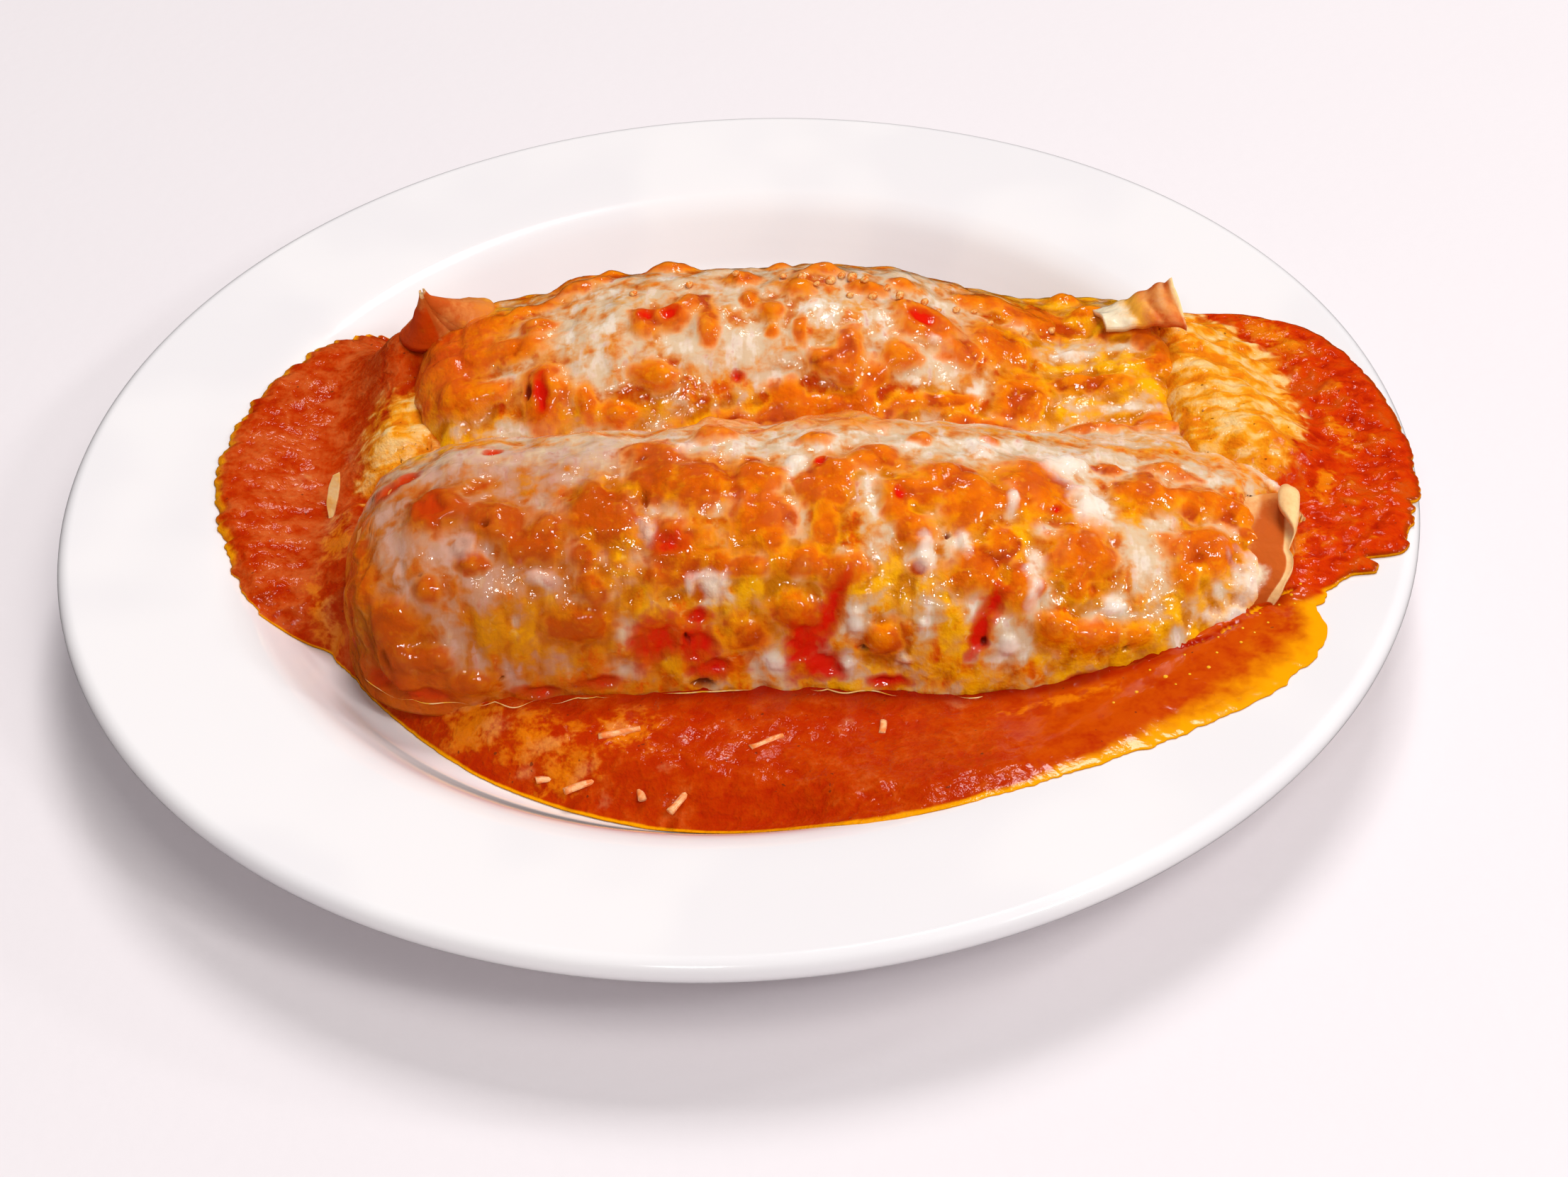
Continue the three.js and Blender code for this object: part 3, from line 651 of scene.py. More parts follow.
def sauce_material(look):
    r = Recipe("tomato_sauce")
    crust, calm, pale, thin = (r.value(name) for name in ("crust", "calm", "pale", "thin"))
    blush, oily, pit_and_shadow, rise = (r.value(name) for name in ("blush", "oily", "pit_and_shadow", "rise"))
    melt, brim = r.value("melt"), r.value("brim")
    fine, pulp = r.noise(1.0, detail=3), r.noise(3.4, detail=3, warp=0.4)
    broad = r.noise(11, detail=3, warp=0.8)
    cloud = r.plus(-2.1, (broad, 1.6), (pulp, 1.7), (fine, 0.9))
    soft = r.plus(-1.6, (broad, 1.5), (pulp, 1.5), (fine, 0.2))
    tone = r.blend(r.step(r.plus(cloud, (pale, 0.2), (calm, 0.45)), -0.4, 0.9), look.red, look.orange)
    tone = r.blend(r.step(crust, 0.1, 0.6, 0.0, 0.7), tone, look.bright)
    tone = r.blend(r.times(r.step(soft, -0.5, 0.0, 0.55, 0.0), r.step(crust, 0.2, 0.6)), tone, look.deep)
    tone = r.blend(r.times(r.step(soft, -0.2, 0.35, 0.0, 0.75), r.step(crust, 0.2, 0.6)), tone, look.orange)
    # painted shade: the sauce's low places darkened towards deep red
    shade = r.step(r.plus(rise, (cloud, 0.8), (calm, 0.6)), -0.8, -0.1, 0.6, 0.0)
    tone = r.blend(shade, tone, look.deep)
    # painted highlight: the raised knobs of the crust lighter gold
    knob = r.times(r.step(r.plus(rise, (cloud, 0.5)), 0.25, 0.9), r.step(crust, 0.0, 0.6))
    tone = r.blend(r.times(knob, 0.45), tone, look.gold)
    haze = r.step(r.plus(cloud, (pale, 0.4)), 0.1, 1.3, 0.0, 0.12)
    tone = r.blend(r.times(haze, r.step(calm, 0, 1, 1, 0)), tone, look.cream)
    tone = r.blend(r.step(r.plus(oily, (cloud, 1.9)), -0.1, 1.2, 0.0, 0.5), tone, look.gold)
    tone = r.blend(r.step(r.plus(blush, (cloud, 1.3)), -0.1, 1.2, 0.0, 0.16), tone, look.cream)
    along = r.noise(1.0, detail=3, warp=0.6, where=r.stretched(13, 4.2, 6))
    molten = r.plus(-1.6, (along, 1.4), (pulp, 1.2), (broad, 0.6))
    covered = r.times(r.step(r.plus(melt, (molten, 1.0)), 0.2, 0.9), r.step(melt, 0.1, 0.4))
    tone = r.blend(r.times(covered, 0.9), tone, look.melted)
    tone = r.blend(r.times(covered, r.step(molten, -0.3, 0.1, 0.75, 0.0)), tone, look.amber)
    tone = r.blend(r.times(covered, r.step(molten, -0.05, 0.4, 0.0, 0.8)), tone, look.milky)
    # painted shadow: deep red in the pits and along the front roll's foot
    tone = r.blend(r.step(r.plus(pit_and_shadow, (cloud, 0.4)), -0.3, 0.5, 0.0, 0.95), tone, look.deep)
    baked = r.times(r.step(r.plus(brim, (soft, 0.6)), 0.3, 1.0, 0.0, 0.7), r.step(crust, 0.3, 0.6))
    tone = r.blend(baked, tone, look.char)
    tone = r.blend(r.step(r.noise(1.3, detail=1), 0.755, 0.785, 0.0, 0.7), tone, look.speck)
    tone = r.blend(r.step(r.plus(thin, (soft, 0.3)), 0.25, 0.85), tone, look.oil)
    height = r.plus(0.0, (fine, 0.6), (pulp, 1.2), (r.noise(0.45, detail=1), 0.2))
    uneven = r.bump(r.times(height, r.step(calm, 0, 1, 1.0, 0.12)), 0.5)
    wet = r.bump(r.times(r.plus(0.0, (fine, 0.25), (pulp, 1.0)), r.step(calm, 0, 1, 1.0, 0.2)), 0.5)
    return r.finish(
        Base_Color=tone, Roughness=0.5, Normal=uneven, Specular_IOR_Level=0.02, Coat_Weight=0.8,
        Coat_Roughness=0.08, Coat_IOR=1.45, Coat_Normal=wet, Subsurface_Weight=0.08,
        Subsurface_Radius=(1.0, 0.3, 0.1), Subsurface_Scale=1.5 * MM,
    )


SAUCE_GRID = (1200, 62)  # round the shore, and inwards
SAUCE_REACH = 0.42  # how far the sauce reaches in under the rolls, as a share of the way


class CANNELLONI_OT_sauce(bpy.types.Operator):
    """Pours the tomato sauce from its ragged shore to under the rolls"""

    bl_idname = "cannelloni.sauce"
    bl_label = "Tomato Sauce"

    def execute(self, context):
        look = context.scene.cannelloni_sauce
        bm, u, v = grid_mesh(*SAUCE_GRID)
        angles = np.interp(u, [0, 0.06, 0.8, 1], [0, 14, 320, 360])
        shore = shore_line(angles)
        radius = shore - SAUCE_REACH * shore * v**1.6
        x, y = radius * np.cos(np.radians(angles)), radius * np.sin(np.radians(angles))
        height, inland = sauce_height(x, y, shore)
        flat = np.stack([x, y, 0 * x], -1)
        right, left = crust_share(x, y)
        calm = pool_share(x, y) * (1 - right)
        rough = (1 - 0.85 * calm) * smooth(2 * inland)
        rim = smooth((radius - 96) / 26)
        crust = np.maximum(right, 0.22 * left) * mix(0.3, 1, rim)
        relief = 0.3 * lumps(flat, 5, 11) + 0.12 * lumps(flat, 1.9, 12)
        knobs = 1.2 * billows(flat, 8, 13) + 0.6 * billows(flat, 3.4, 14) + 0.2 * lumps(flat, 1.5, 15) - 0.5
        # shallow pits, painted deep red as shadow
        pit_and_shadow = cover(flat, SHADOW_PITS, level, 0.5)
        melt = melt_share(x, y)
        bumps = relief * (1 + 2.4 * melt) + crust * knobs * smooth((shore - radius) / 6)
        rises = rough * bumps - 0.8 * smooth(1.5 * pit_and_shadow)
        height = np.maximum(height + rises, plate_height(radius) + 0.12)
        move_to(bm, np.stack([x, y, height], -1))
        thickness = height - plate_height(radius)
        ragged = 0.3 * lumps(flat, 4.2, 16) + 0.2 * lumps(flat, 1.8, 17)
        thin = 1 - smooth((thickness - 0.25) / mix(0.9, 1.3, calm))
        fringe = left * smooth((198 - angles) / 10) * smooth((3.4 - (shore - radius)) / 3.4)
        # painted shadow: a dark band on the sauce along the front roll's foot
        outside = -y + FRONT.axis - FRONT.width(x, True)
        foot = smooth((4 - outside) / 4) * smooth((x + 30) / 20) * smooth((92 - x) / 20)
        keep_values(bm, {
            "crust": crust, "calm": calm, "pale": smooth((-x - 60) / 20), "rise": rises - blurred(rises, 6),
            "thin": np.maximum(thin, 0.75 * fringe + 0.9 * ragged * fringe),
            "pit_and_shadow": np.maximum(pit_and_shadow, 0.8 * foot - 0.35) + 0.4 * ragged,
            "melt": melt + 0.4 * ragged, "brim": smooth((2.4 - (shore - radius)) / 2.4),
            "blush": cover(flat, BLUSHES, level, 0.5) + ragged,
            "oily": cover(flat, OILY, level, 0.5) + ragged,
        })
        bmesh.ops.remove_doubles(bm, verts=bm.verts[:], dist=1e-3)
        close_below(bm, 8)
        finish_piece(bm, "sauce_pool", sauce_material(look), ["tomato_sauce"])
        return {"FINISHED"}


# Strokes on the sauce: place, half length, half width and turn.
# BLUSHES are cheese stirred in, OILY is oily cheese; the pits are shallow hollows whose deep red is painted
# shadow under the overhanging cheese and pasta.
BLUSHES = [
    (-48, -67, 3.4, 2.4, -8), (-37, -73, 5, 2.0, 8), (-24, -71, 3, 1.8, 0), (-31, -80, 3, 1.6, 24),
    (-12, -75, 3.0, 1.8, 20), (6, -76, 3.4, 1.8, -10), (20, -73, 2.6, 2.0, 0), (40, -69.5, 3.0, 2.6, 0),
    (-56, -60, 3, 1.8, -30), (-76, 42, 5, 1.8, 40), (-92, 6, 4, 1.6, 80), (-27, -86, 2.0, 1.4, 0),
    (-62, 56, 6, 2.0, 20), (-83, -34, 2.4, 2.0, 70), (-84, -10, 2.0, 4.0, 0), (-82, 12, 2.4, 2.4, 0),
    (-16, -82, 2.4, 1.6, 0), (-42, -77, 2.4, 1.4, 0), (108, -38, 3.0, 2.4, 20), (104, -45, 2.0, 1.6, 0),
]
OILY = [
    (-52, -65, 7, 4.0, -25), (-38, -71, 8, 5.0, -4), (-24, -72, 8, 4.4, 4), (-66, 46, 7, 4, 30),
    (-84, -34, 5, 3, 110), (-34, -80, 6, 3, 10), (58, -74, 12, 2, 8), (-82, -16, 3, 8, 0),
    (118, 34, 4, 8, 25), (126, -6, 2.4, 6, 0), (118, -22, 7, 3, 70), (111, -36, 6, 5, 60),
]
SHADOW_PITS = [
    (76, -64.6, 8, 0.7, 12), (86, -62.4, 6, 0.8, 14), (93, -59.4, 4, 0.8, 30), (100, -54.0, 5, 0.8, 38),
    (106, -50.4, 3, 0.7, 20), (-64, -48, 5, 1.4, 125),
]


def level(x, y):
    x, y = np.broadcast_arrays(np.asarray(x, float), np.asarray(y, float))
    return np.stack([x, y, 0 * x], -1)


def close_below(bm, rings):
    """Closes an open pool: an inner lid, and an underside that follows the plate from its shore inwards."""
    loops = sorted(boundary_loops(bm), key=lambda loop: -max(vertex.co.xy.length for vertex in loop[0]))
    outer, inner = loops[0][1], loops[-1][1]
    bmesh.ops.holes_fill(bm, edges=inner, sides=0)
    edges = outer
    for ring in range(rings + 1):
        made = bmesh.ops.extrude_edge_only(bm, edges=edges)["geom"]
        edges = [item for item in made if isinstance(item, bmesh.types.BMEdge)]
        edges = [edge for edge in edges if edge.is_boundary]
        for vertex in {vertex for edge in edges for vertex in edge.verts}:
            flat = vertex.co.xy * (1 if ring == 0 else 1 - 0.35 / rings)
            vertex.co = (flat.x, flat.y, float(plate_height(flat.length)) + 0.04)
    bmesh.ops.holes_fill(bm, edges=edges, sides=0)


def boundary_loops(bm):
    """Each open border of a mesh as its vertices and its edges."""
    left = {edge for edge in bm.edges if edge.is_boundary}
    found = []
    while left:
        start = left.pop()
        edges, vertices, ends = [start], set(start.verts), list(start.verts)
        while ends:
            for edge in ends.pop().link_edges:
                if edge in left:
                    left.remove(edge)
                    edges.append(edge)
                    ends.extend(set(edge.verts) - vertices)
                    vertices.update(edge.verts)
        found.append((vertices, edges))
    return found


# Strokes of colour and relief on the cheese: place along x, place v, half length, half width and turn.
RED_SPOTS = [
    (-58.5, 0.87, 3.4, 3.2, 0), (-66, 1.07, 4.5, 2.2, 20), (-70, 0.1, 4, 2.2, 10), (-62, 0.07, 6, 1.6, 0),
    (-15.5, 0.24, 5.6, 4.6, 25), (-12.5, 0.62, 3.0, 2.4, 0), (17, 0.96, 1.1, 1.4, 0), (-5, 0.13, 5.0, 2.0, 0),
    (-8, 0.33, 2.4, 1.4, 0), (-9, 0.22, 3.6, 4.5, 15), (12.5, 0.22, 3.0, 5.8, -12), (31.5, 0.82, 1.2, 1.4, 0),
    (17, 0.33, 1.8, 6.0, -22), (15, 0.13, 3.8, 2.6, 0),
    (45.4, 0.31, 1.9, 5.4, -14), (48.6, 0.44, 1.5, 3.4, -14),
    (62, 0.84, 0.9, 0.8, 0), (-76, 0.42, 2.4, 3.4, 0), (66, 0.1, 4.4, 1.6, 0), (-28, 0.1, 4.0, 1.6, 0),
    (-47, 1.13, 1.6, 0.9, 20), (40, 1.88, 2.6, 1.8, 0), (1.5, 1.65, 1.4, 1.2, 0), (-39, 1.66, 1.4, 4.0, -12),
    (-12, 1.9, 1.6, 1.6, 0), (-17.2, 1.9, 1.4, 1.6, 0), (28, 0.08, 3.0, 1.2, 0), (-40, 0.07, 4.0, 1.2, 0),
]
BROWNED_SPOTS = [
    (-57, 0.86, 4.6, 4.0, 0), (-45.5, 0.76, 4.4, 3.6, 0), (-40, 0.65, 3.4, 2.6, 0), (-25, 0.76, 5.4, 6.4, 0),
    (-15.5, 1.04, 4.6, 3.4, 0), (-14.5, 0.92, 4.2, 4.6, 0), (-6, 0.91, 5.6, 4.8, 0), (5, 0.9, 3.6, 3.4, 0),
    (5.5, 0.71, 4.6, 5.0, 0), (-3.5, 1.15, 3.4, 3.0, 0), (16, 1.08, 2.8, 1.4, 0), (15, 0.85, 2.6, 3.4, 0),
    (19, 0.9, 3.4, 4.4, 0), (28, 0.99, 4.6, 3.2, 0), (31.5, 0.84, 3.2, 3.2, 0), (36.5, 0.83, 2.4, 2.2, 0),
    (42.5, 0.9, 5.4, 4.2, -8), (45, 0.8, 3.6, 3.6, 0), (17.5, 0.68, 1.9, 4.6, 0), (33, 0.7, 1.6, 2.4, 0),
    (57.5, 0.92, 5.6, 6.0, 0), (63, 0.85, 1.8, 1.8, 0), (74, 1.06, 2.4, 1.9, 0), (79, 0.95, 4.2, 3.6, 0),
    (86, 1.08, 4.0, 2.0, -8), (91, 0.95, 3.2, 3.0, 0), (97, 0.9, 3.4, 3.2, 0), (91, 0.67, 6.4, 3.8, 8),
    (85.5, 0.52, 2.2, 4.0, 0), (65.5, 0.65, 5.4, 5.2, 0), (51, 0.68, 2.4, 3.0, 0), (53, 0.5, 2.4, 4.0, 0),
    (-73, 0.56, 3.6, 3.4, 0), (-73, 0.78, 2.2, 2.0, 0), (-60, 0.22, 3.4, 2.4, 0),
    (-52, 0.12, 4.0, 2.0, 0), (-66, 0.38, 4.2, 3.6, 0), (-66.5, 0.2, 3.8, 5.4, 0),
    (-27.5, 0.45, 2.4, 2.4, 0), (-36, 0.68, 2.4, 3.4, 0), (-50, 0.59, 2.2, 1.4, 0), (-30, 0.33, 5, 3, 0),
    (-12, 0.6, 5.0, 5.0, 0), (3, 0.52, 3.0, 1.6, 0), (12, 0.53, 4.4, 2.6, 0), (20, 0.5, 3.4, 2.8, 0),
    (46, 0.56, 4.4, 3.4, 0), (1, 0.26, 3.4, 3.0, 0), (10, 0.36, 3.0, 3.4, 0), (27, 0.24, 2.6, 2.8, 0),
    (66, 0.3, 4.4, 3.0, 0), (60, 0.35, 3.4, 2.6, 0), (77, 0.3, 3.4, 2.2, 0), (37, 1.13, 1.8, 1.6, 0),
    (51, 1.15, 1.4, 1.2, 0), (-3, 1.52, 6.6, 3.2, 0), (9, 1.56, 3.0, 1.6, 0), (22, 1.55, 8.0, 3.6, 0),
    (36, 1.58, 2.4, 1.4, 0), (45, 1.6, 4.4, 1.4, 0), (53, 1.52, 5.0, 1.8, 0), (60, 1.66, 4.0, 4.4, 0),
    (57, 1.88, 5.4, 4.4, -20), (68, 2.06, 7.4, 3.6, 0), (75, 1.72, 6.4, 1.8, 0), (74, 1.46, 6.0, 2.2, 0),
    (88, 1.5, 6.4, 2.4, 0), (88, 2.05, 5.0, 3.0, 0), (82, 2.0, 2.6, 2.0, 0), (92, 1.8, 5.0, 2.0, 0),
    (5, 1.98, 1.4, 3.0, 0), (9, 1.9, 2.0, 2.6, 0), (15, 2.03, 2.8, 3.4, 0), (9, 1.8, 1.0, 1.4, 0),
    (15, 1.8, 1.1, 3.0, 0), (20, 1.68, 2.8, 2.2, 0), (25, 1.71, 2.2, 5.0, 0), (30, 1.64, 2.4, 2.2, 0),
    (35, 1.71, 3.2, 2.6, 0), (30, 2.03, 3.0, 1.8, 0), (42, 1.88, 5.6, 4.0, 0), (20, 2.15, 4.0, 2.0, 0),
    (-17, 1.88, 2.6, 3.4, 0), (-12, 1.89, 2.8, 2.6, 0), (-16, 1.67, 3.8, 2.4, -10), (-4, 1.86, 1.6, 5.0, 0),
    (-23, 1.58, 3.0, 2.2, 0), (-30, 1.62, 1.5, 3.0, 0), (-39, 1.67, 3.4, 6.4, -10), (-33, 2.2, 3.4, 1.8, 0),
    (-27, 2.24, 1.8, 1.4, 0), (-42, 2.1, 5.4, 2.4, 12), (-45, 1.87, 6.0, 2.4, 10), (-58, 1.9, 7, 5, 0),
    (-56, 1.72, 8, 3, 0), (-52, 2.05, 6, 4, 0), (3, 2.12, 3.4, 2.0, 0), (-12, 2.32, 4.0, 2.2, 0),
    (-34, 2.34, 3.6, 2.2, 0),
]
MILKY_SPOTS = [
    (-68, 0.93, 6.5, 3.6, 20), (-55, 1.03, 9.0, 3.2, 8), (-42, 1.06, 10.0, 3.4, 3), (-30, 1.05, 8.0, 3.4, 0),
    (-10, 1.14, 6.0, 2.6, 0), (2, 1.08, 7.0, 3.2, 0), (12, 1.06, 6.0, 4.4, 0), (24, 1.13, 7.0, 2.6, 0),
    (36, 1.08, 8.0, 3.4, 0), (48, 1.05, 6.0, 4.6, 0), (54, 1.14, 8.0, 3.8, -4), (66, 1.02, 6.4, 6.4, -6),
    (78, 1.1, 7.0, 2.6, -6), (90, 1.12, 8.0, 2.6, -6), (-66, 0.74, 6.0, 6.4, 0), (-52, 0.86, 4.0, 4.0, 0),
    (-57, 0.66, 6.0, 5.4, 0), (-47, 0.5, 5.6, 4.0, 0), (-55, 0.29, 3.6, 7.4, 0), (-62, 0.5, 4.4, 4.4, 0),
    (-30.5, 0.62, 1.7, 3.8, 0), (-35.3, 0.77, 1.4, 3.6, 0),
    (-31, 0.95, 6.4, 3.4, 0), (-19.8, 0.78, 1.8, 4.4, 8),
    (-17, 0.57, 3.0, 2.8, 0), (-15, 0.78, 3.4, 2.4, 0), (12, 0.93, 3.4, 6.0, 0), (11.5, 0.72, 2.6, 5.6, 0),
    (26.5, 0.82, 3.6, 8.0, 4), (27, 0.62, 3.0, 4.0, 0), (35.5, 0.63, 2.6, 5.4, 0), (20, 0.57, 1.8, 1.8, 0),
    (36, 0.35, 2.3, 5.0, 0), (21.4, 0.3, 2.4, 4.6, 6), (8, 0.86, 1.6, 2.4, 0), (50, 0.33, 3.2, 5.0, 0),
    (49, 0.2, 3.4, 2.6, 0), (53, 0.83, 1.6, 4.0, 0), (70, 0.86, 5.0, 7.6, 0), (78, 0.62, 5.4, 9.4, 0),
    (56, 0.5, 2.4, 8.4, -8), (53, 0.3, 2.6, 4.4, -8), (72, 0.43, 3.4, 3.2, 0), (60, 0.75, 3.0, 2.4, 0),
    (82, 0.82, 3.4, 3.4, 0), (95, 0.78, 4.0, 1.6, 0), (-23, 0.14, 3.2, 2.6, 0), (5.8, 0.14, 3.2, 3.0, 0),
    (20, 0.14, 2.8, 2.8, 0), (-75, 0.3, 2.4, 2.6, 0), (-78, 0.64, 1.4, 2.8, 0), (-28, 0.43, 4.4, 1.4, 0),
    (-25, 1.9, 6.4, 5.4, 0), (-5, 2.02, 2.4, 4.4, 0), (-28, 1.74, 7.0, 4.0, 0), (-10, 1.76, 6.4, 4.4, 0),
    (3, 1.76, 6.0, 6.4, 0), (9, 1.64, 5.4, 3.0, 0), (18, 1.9, 7.0, 4.0, 0), (32, 1.86, 4.4, 5.4, 0),
    (38, 1.66, 4.0, 2.4, 0), (46, 1.74, 4.4, 6.0, 0), (52, 1.66, 4.0, 3.0, 0), (45, 2.05, 8.0, 3.0, 0),
    (62, 2.0, 3.4, 2.4, 0), (70, 1.88, 6.4, 2.6, 0), (84, 1.9, 5.0, 1.8, 0), (80, 1.6, 8.0, 1.4, 0),
    (95, 1.95, 4.0, 1.6, 0), (-44, 1.58, 7.0, 2.4, 0), (-48, 1.75, 5.4, 2.0, 8), (-24, 2.1, 6.4, 3.0, 0),
    (-12, 2.15, 6.4, 2.4, 0), (8, 2.2, 6.0, 2.0, 0), (-34, 1.88, 3.0, 3.4, 0), (106, 1.2, 3.4, 4.4, 0),
    (100, 1.6, 4.4, 2.4, 0), (-40, 1.3, 10.0, 3.4, 0), (-15, 1.34, 12.0, 3.4, 0), (12, 1.36, 12.0, 3.4, 0),
]
THICK_SPOTS = [
    (-51.5, 0.68, 3.0, 2.8, 0), (-38, 0.52, 3.2, 1.6, -22),
    (-16.6, 0.68, 1.6, 3.2, 12), (-5, 0.44, 2.8, 3.4, 28),
    (21.4, 0.31, 1.9, 4.0, 8), (43.4, 0.65, 1.3, 2.4, 10), (35.8, 0.6, 1.8, 3.6, 0), (6.2, 0.14, 2.2, 2.0, 0),
    (20, 0.14, 2.2, 1.6, 0), (56, 0.55, 1.7, 6.4, -8), (71.5, 0.44, 2.6, 2.0, 0), (65, 1.04, 5.4, 4.0, -8),
    (69, 0.88, 3.8, 5.4, 0), (49, 1.08, 3.4, 3.4, 0), (-10, 1.07, 2.6, 1.8, 0), (34.4, 0.31, 0.9, 1.6, 0),
    (53, 0.84, 1.1, 3.4, 0), (50.5, 0.27, 1.8, 2.6, 0), (-9, 0.44, 1.0, 2.0, 0), (12.5, 0.97, 2.4, 2.4, 0),
    (72, 1.88, 4.4, 1.6, 0), (42.6, 1.8, 1.4, 1.0, 0), (38.4, 1.64, 1.1, 1.0, 0), (30.6, 0.17, 1.6, 1.6, 0),
    (108, 1.14, 2.4, 2.0, 0), (100, 0.42, 5.4, 6.4, 0), (95, 0.28, 5.4, 3.6, 0), (106, 0.62, 2.4, 4.0, 0),
]
GOLDEN_SPOTS = [
    (-22.5, 0.83, 1.8, 1.4, 0), (-42, 0.3, 4.4, 5.0, 0), (-48, 0.32, 3.0, 4.0, 0), (-36, 0.22, 4.0, 3.4, 0),
    (-5, 0.96, 1.4, 1.0, 0), (5.6, 0.88, 1.6, 1.9, 0), (6, 0.68, 2.4, 2.2, 0), (13.6, 0.83, 1.4, 2.0, 0),
    (5.5, 0.43, 4.8, 4.4, 0), (33, 0.83, 1.5, 1.6, 0), (45.6, 0.84, 2.0, 3.6, -10), (17, 0.63, 3.0, 3.4, 0),
    (30, 0.46, 5.4, 4.4, 0), (40, 0.44, 2.4, 2.2, 0), (41, 0.28, 2.4, 2.2, 0), (37, 0.14, 3.4, 1.6, 0),
    (53, 0.48, 2.2, 4.4, 0), (68, 0.46, 2.4, 3.4, 0), (77.5, 0.75, 1.2, 1.6, 0), (80, 0.65, 1.4, 1.6, 0),
    (92, 0.46, 5.4, 6.4, 0), (99, 0.5, 4.0, 6.0, 0), (84, 0.3, 4.4, 4.0, 0), (57, 0.82, 3.4, 1.8, 0),
    (76, 0.92, 2.4, 2.0, 0), (86, 0.9, 2.4, 2.4, 0), (74.5, 1.06, 1.8, 1.4, 0), (25, 1.95, 3.4, 2.4, 0),
    (-20, 2.0, 4.0, 2.6, 0), (20, 1.72, 3.0, 2.4, 0), (35.6, 1.69, 1.9, 1.4, 0), (44, 1.66, 3.0, 3.0, 0),
    (66, 1.58, 8.0, 1.8, 0), (76, 1.52, 8.0, 1.6, 0), (-24, 1.56, 3.4, 2.0, 0), (-60, 1.5, 8.0, 2.6, 0),
    (107, 1.35, 4.4, 6.0, 0), (103, 1.8, 3.4, 3.0, 0), (64, 1.95, 5.0, 3.0, 0), (-3, 1.54, 5.0, 1.4, 0),
    (-50, 2.15, 4.0, 2.4, 0), (-5, 0.43, 1.2, 4.4, 0), (12, 0.42, 1.6, 3.4, 0), (75, 1.66, 5.0, 1.4, 0),
]
DARK_SPOTS = [
    (-17, 0.83, 1.1, 3.4, 8), (40.3, 0.68, 0.9, 1.0, 0), (-8, 0.07, 3.4, 1.2, 0), (-68, 0.22, 1.8, 4.0, 0),
    (-60, 0.56, 0.5, 1.6, 10), (-54.6, 0.51, 0.5, 1.4, -10),
    (-46.4, 0.13, 0.9, 0.8, 0), (46, 0.27, 1.0, 1.6, -14),
    (-47.6, 0.74, 1.6, 1.4, 0), (-10.4, 0.25, 1.0, 2.4, 15),
    (-76.5, 0.38, 1.4, 1.6, 0), (84, 2.02, 1.2, 0.9, 0),
    (73, 0.245, 0.8, 0.7, 0), (-17.6, 1.02, 1.4, 1.0, 0),
    (23, 0.2, 1.6, 0.8, -20), (-42, 1.68, 1.0, 3.4, -10),
]


def cheese_veil(x, v):
    """Where the cheese is milky all over: along the front ridge, down its left end and over the back roll."""
    ridge = np.exp(-(((v - 1.09) / 0.13) ** 2)) * smooth((x + 78) / 14) * smooth((108 - x) / 16)
    left = smooth((-26 - x) / 20) * smooth((v - 0.3) / 0.3) * smooth((1.3 - v) / 0.2) * smooth((x + 84) / 18)
    back = smooth((v - 1.58) / 0.12) * smooth((2.4 - v) / 0.2) * smooth((x + 60) / 26) * smooth((62 - x) / 16)
    valley = 0.8 * smooth((v - 1.2) / 0.1) * smooth((1.6 - v) / 0.15)
    valley = valley * smooth((x + 66) / 20) * smooth((112 - x) / 20)
    return np.maximum(np.maximum(1.05 * ridge, 0.5 * left), np.maximum(0.66 * back, valley))


def cheese_values(base, x, v):
    """How far inside each kind of stroke the points are, ragged at their edges."""
    ragged = 0.4 * lumps(base, 4.2, 1) + 0.26 * lumps(base, 1.9, 2)
    kinds = {
        "browned": BROWNED_SPOTS + scattered(21, 30, (-62, 102), (0.5, 1.05), (1.0, 2.4))
        + scattered(22, 22, (-50, 98), (1.5, 2.4), (2.0, 3.6), 0.8),
        "milky": MILKY_SPOTS + scattered(23, 60, (-75, 96), (0.12, 1.2), (0.9, 2.4), 1.8),
        "thick": THICK_SPOTS,
        "golden": GOLDEN_SPOTS + scattered(25, 90, (-60, 102), (0.08, 0.95), (1.6, 3.6), 1.3),
        "red": RED_SPOTS,
        "dark": DARK_SPOTS,
    }
    swell = {"browned": 1.25, "milky": 1.05, "golden": 1.4, "thick": 1.0, "red": 1.0, "dark": 0.75}
    made = {
        name: cover(base, strokes, cheese_point, 0.02, swell[name]) + ragged
        for name, strokes in kinds.items()
    }
    made["milky"] = np.maximum(made["milky"], cheese_veil(x, v) - 0.35 + ragged)
    made["milky"] -= 0.7 * smooth((-66 - x) / 9) * smooth((1.05 - v) / 0.2)
    # painted shade: darker towards the front roll's left end
    made["shade"] = smooth((20 - x) / 74) * smooth((1.4 - v) / 0.5)
    soaked = np.maximum(smooth((v - 1.6) / 0.2), 1.2 * smooth((0.3 - v) / 0.2))
    made["sauced"] = smooth((-42 - x) / 20) * soaked
    gilt = smooth((x - 68) / 16) * smooth((0.66 - v) / 0.3)
    gilt = gilt + smooth((x - 50) / 30) * smooth((v - 1.2) / 0.2) * 0.7
    gilt = np.maximum(gilt, smooth((-40 - x) / 16) * smooth((v - 1.16) / 0.12) * smooth((1.7 - v) / 0.2))
    gilt = np.maximum(gilt, 0.7 * smooth((v - 1.22) / 0.1) * smooth((1.62 - v) / 0.1))
    made["golden"] = np.maximum(made["golden"], 1.2 * gilt + ragged - 0.3)
    clear = 1 - 0.7 * smooth((x - 72) / 10) * smooth((0.6 - v) / 0.2)
    for name in ("browned", "red"):
        made[name] = mix(-1, made[name], clear)
    return made


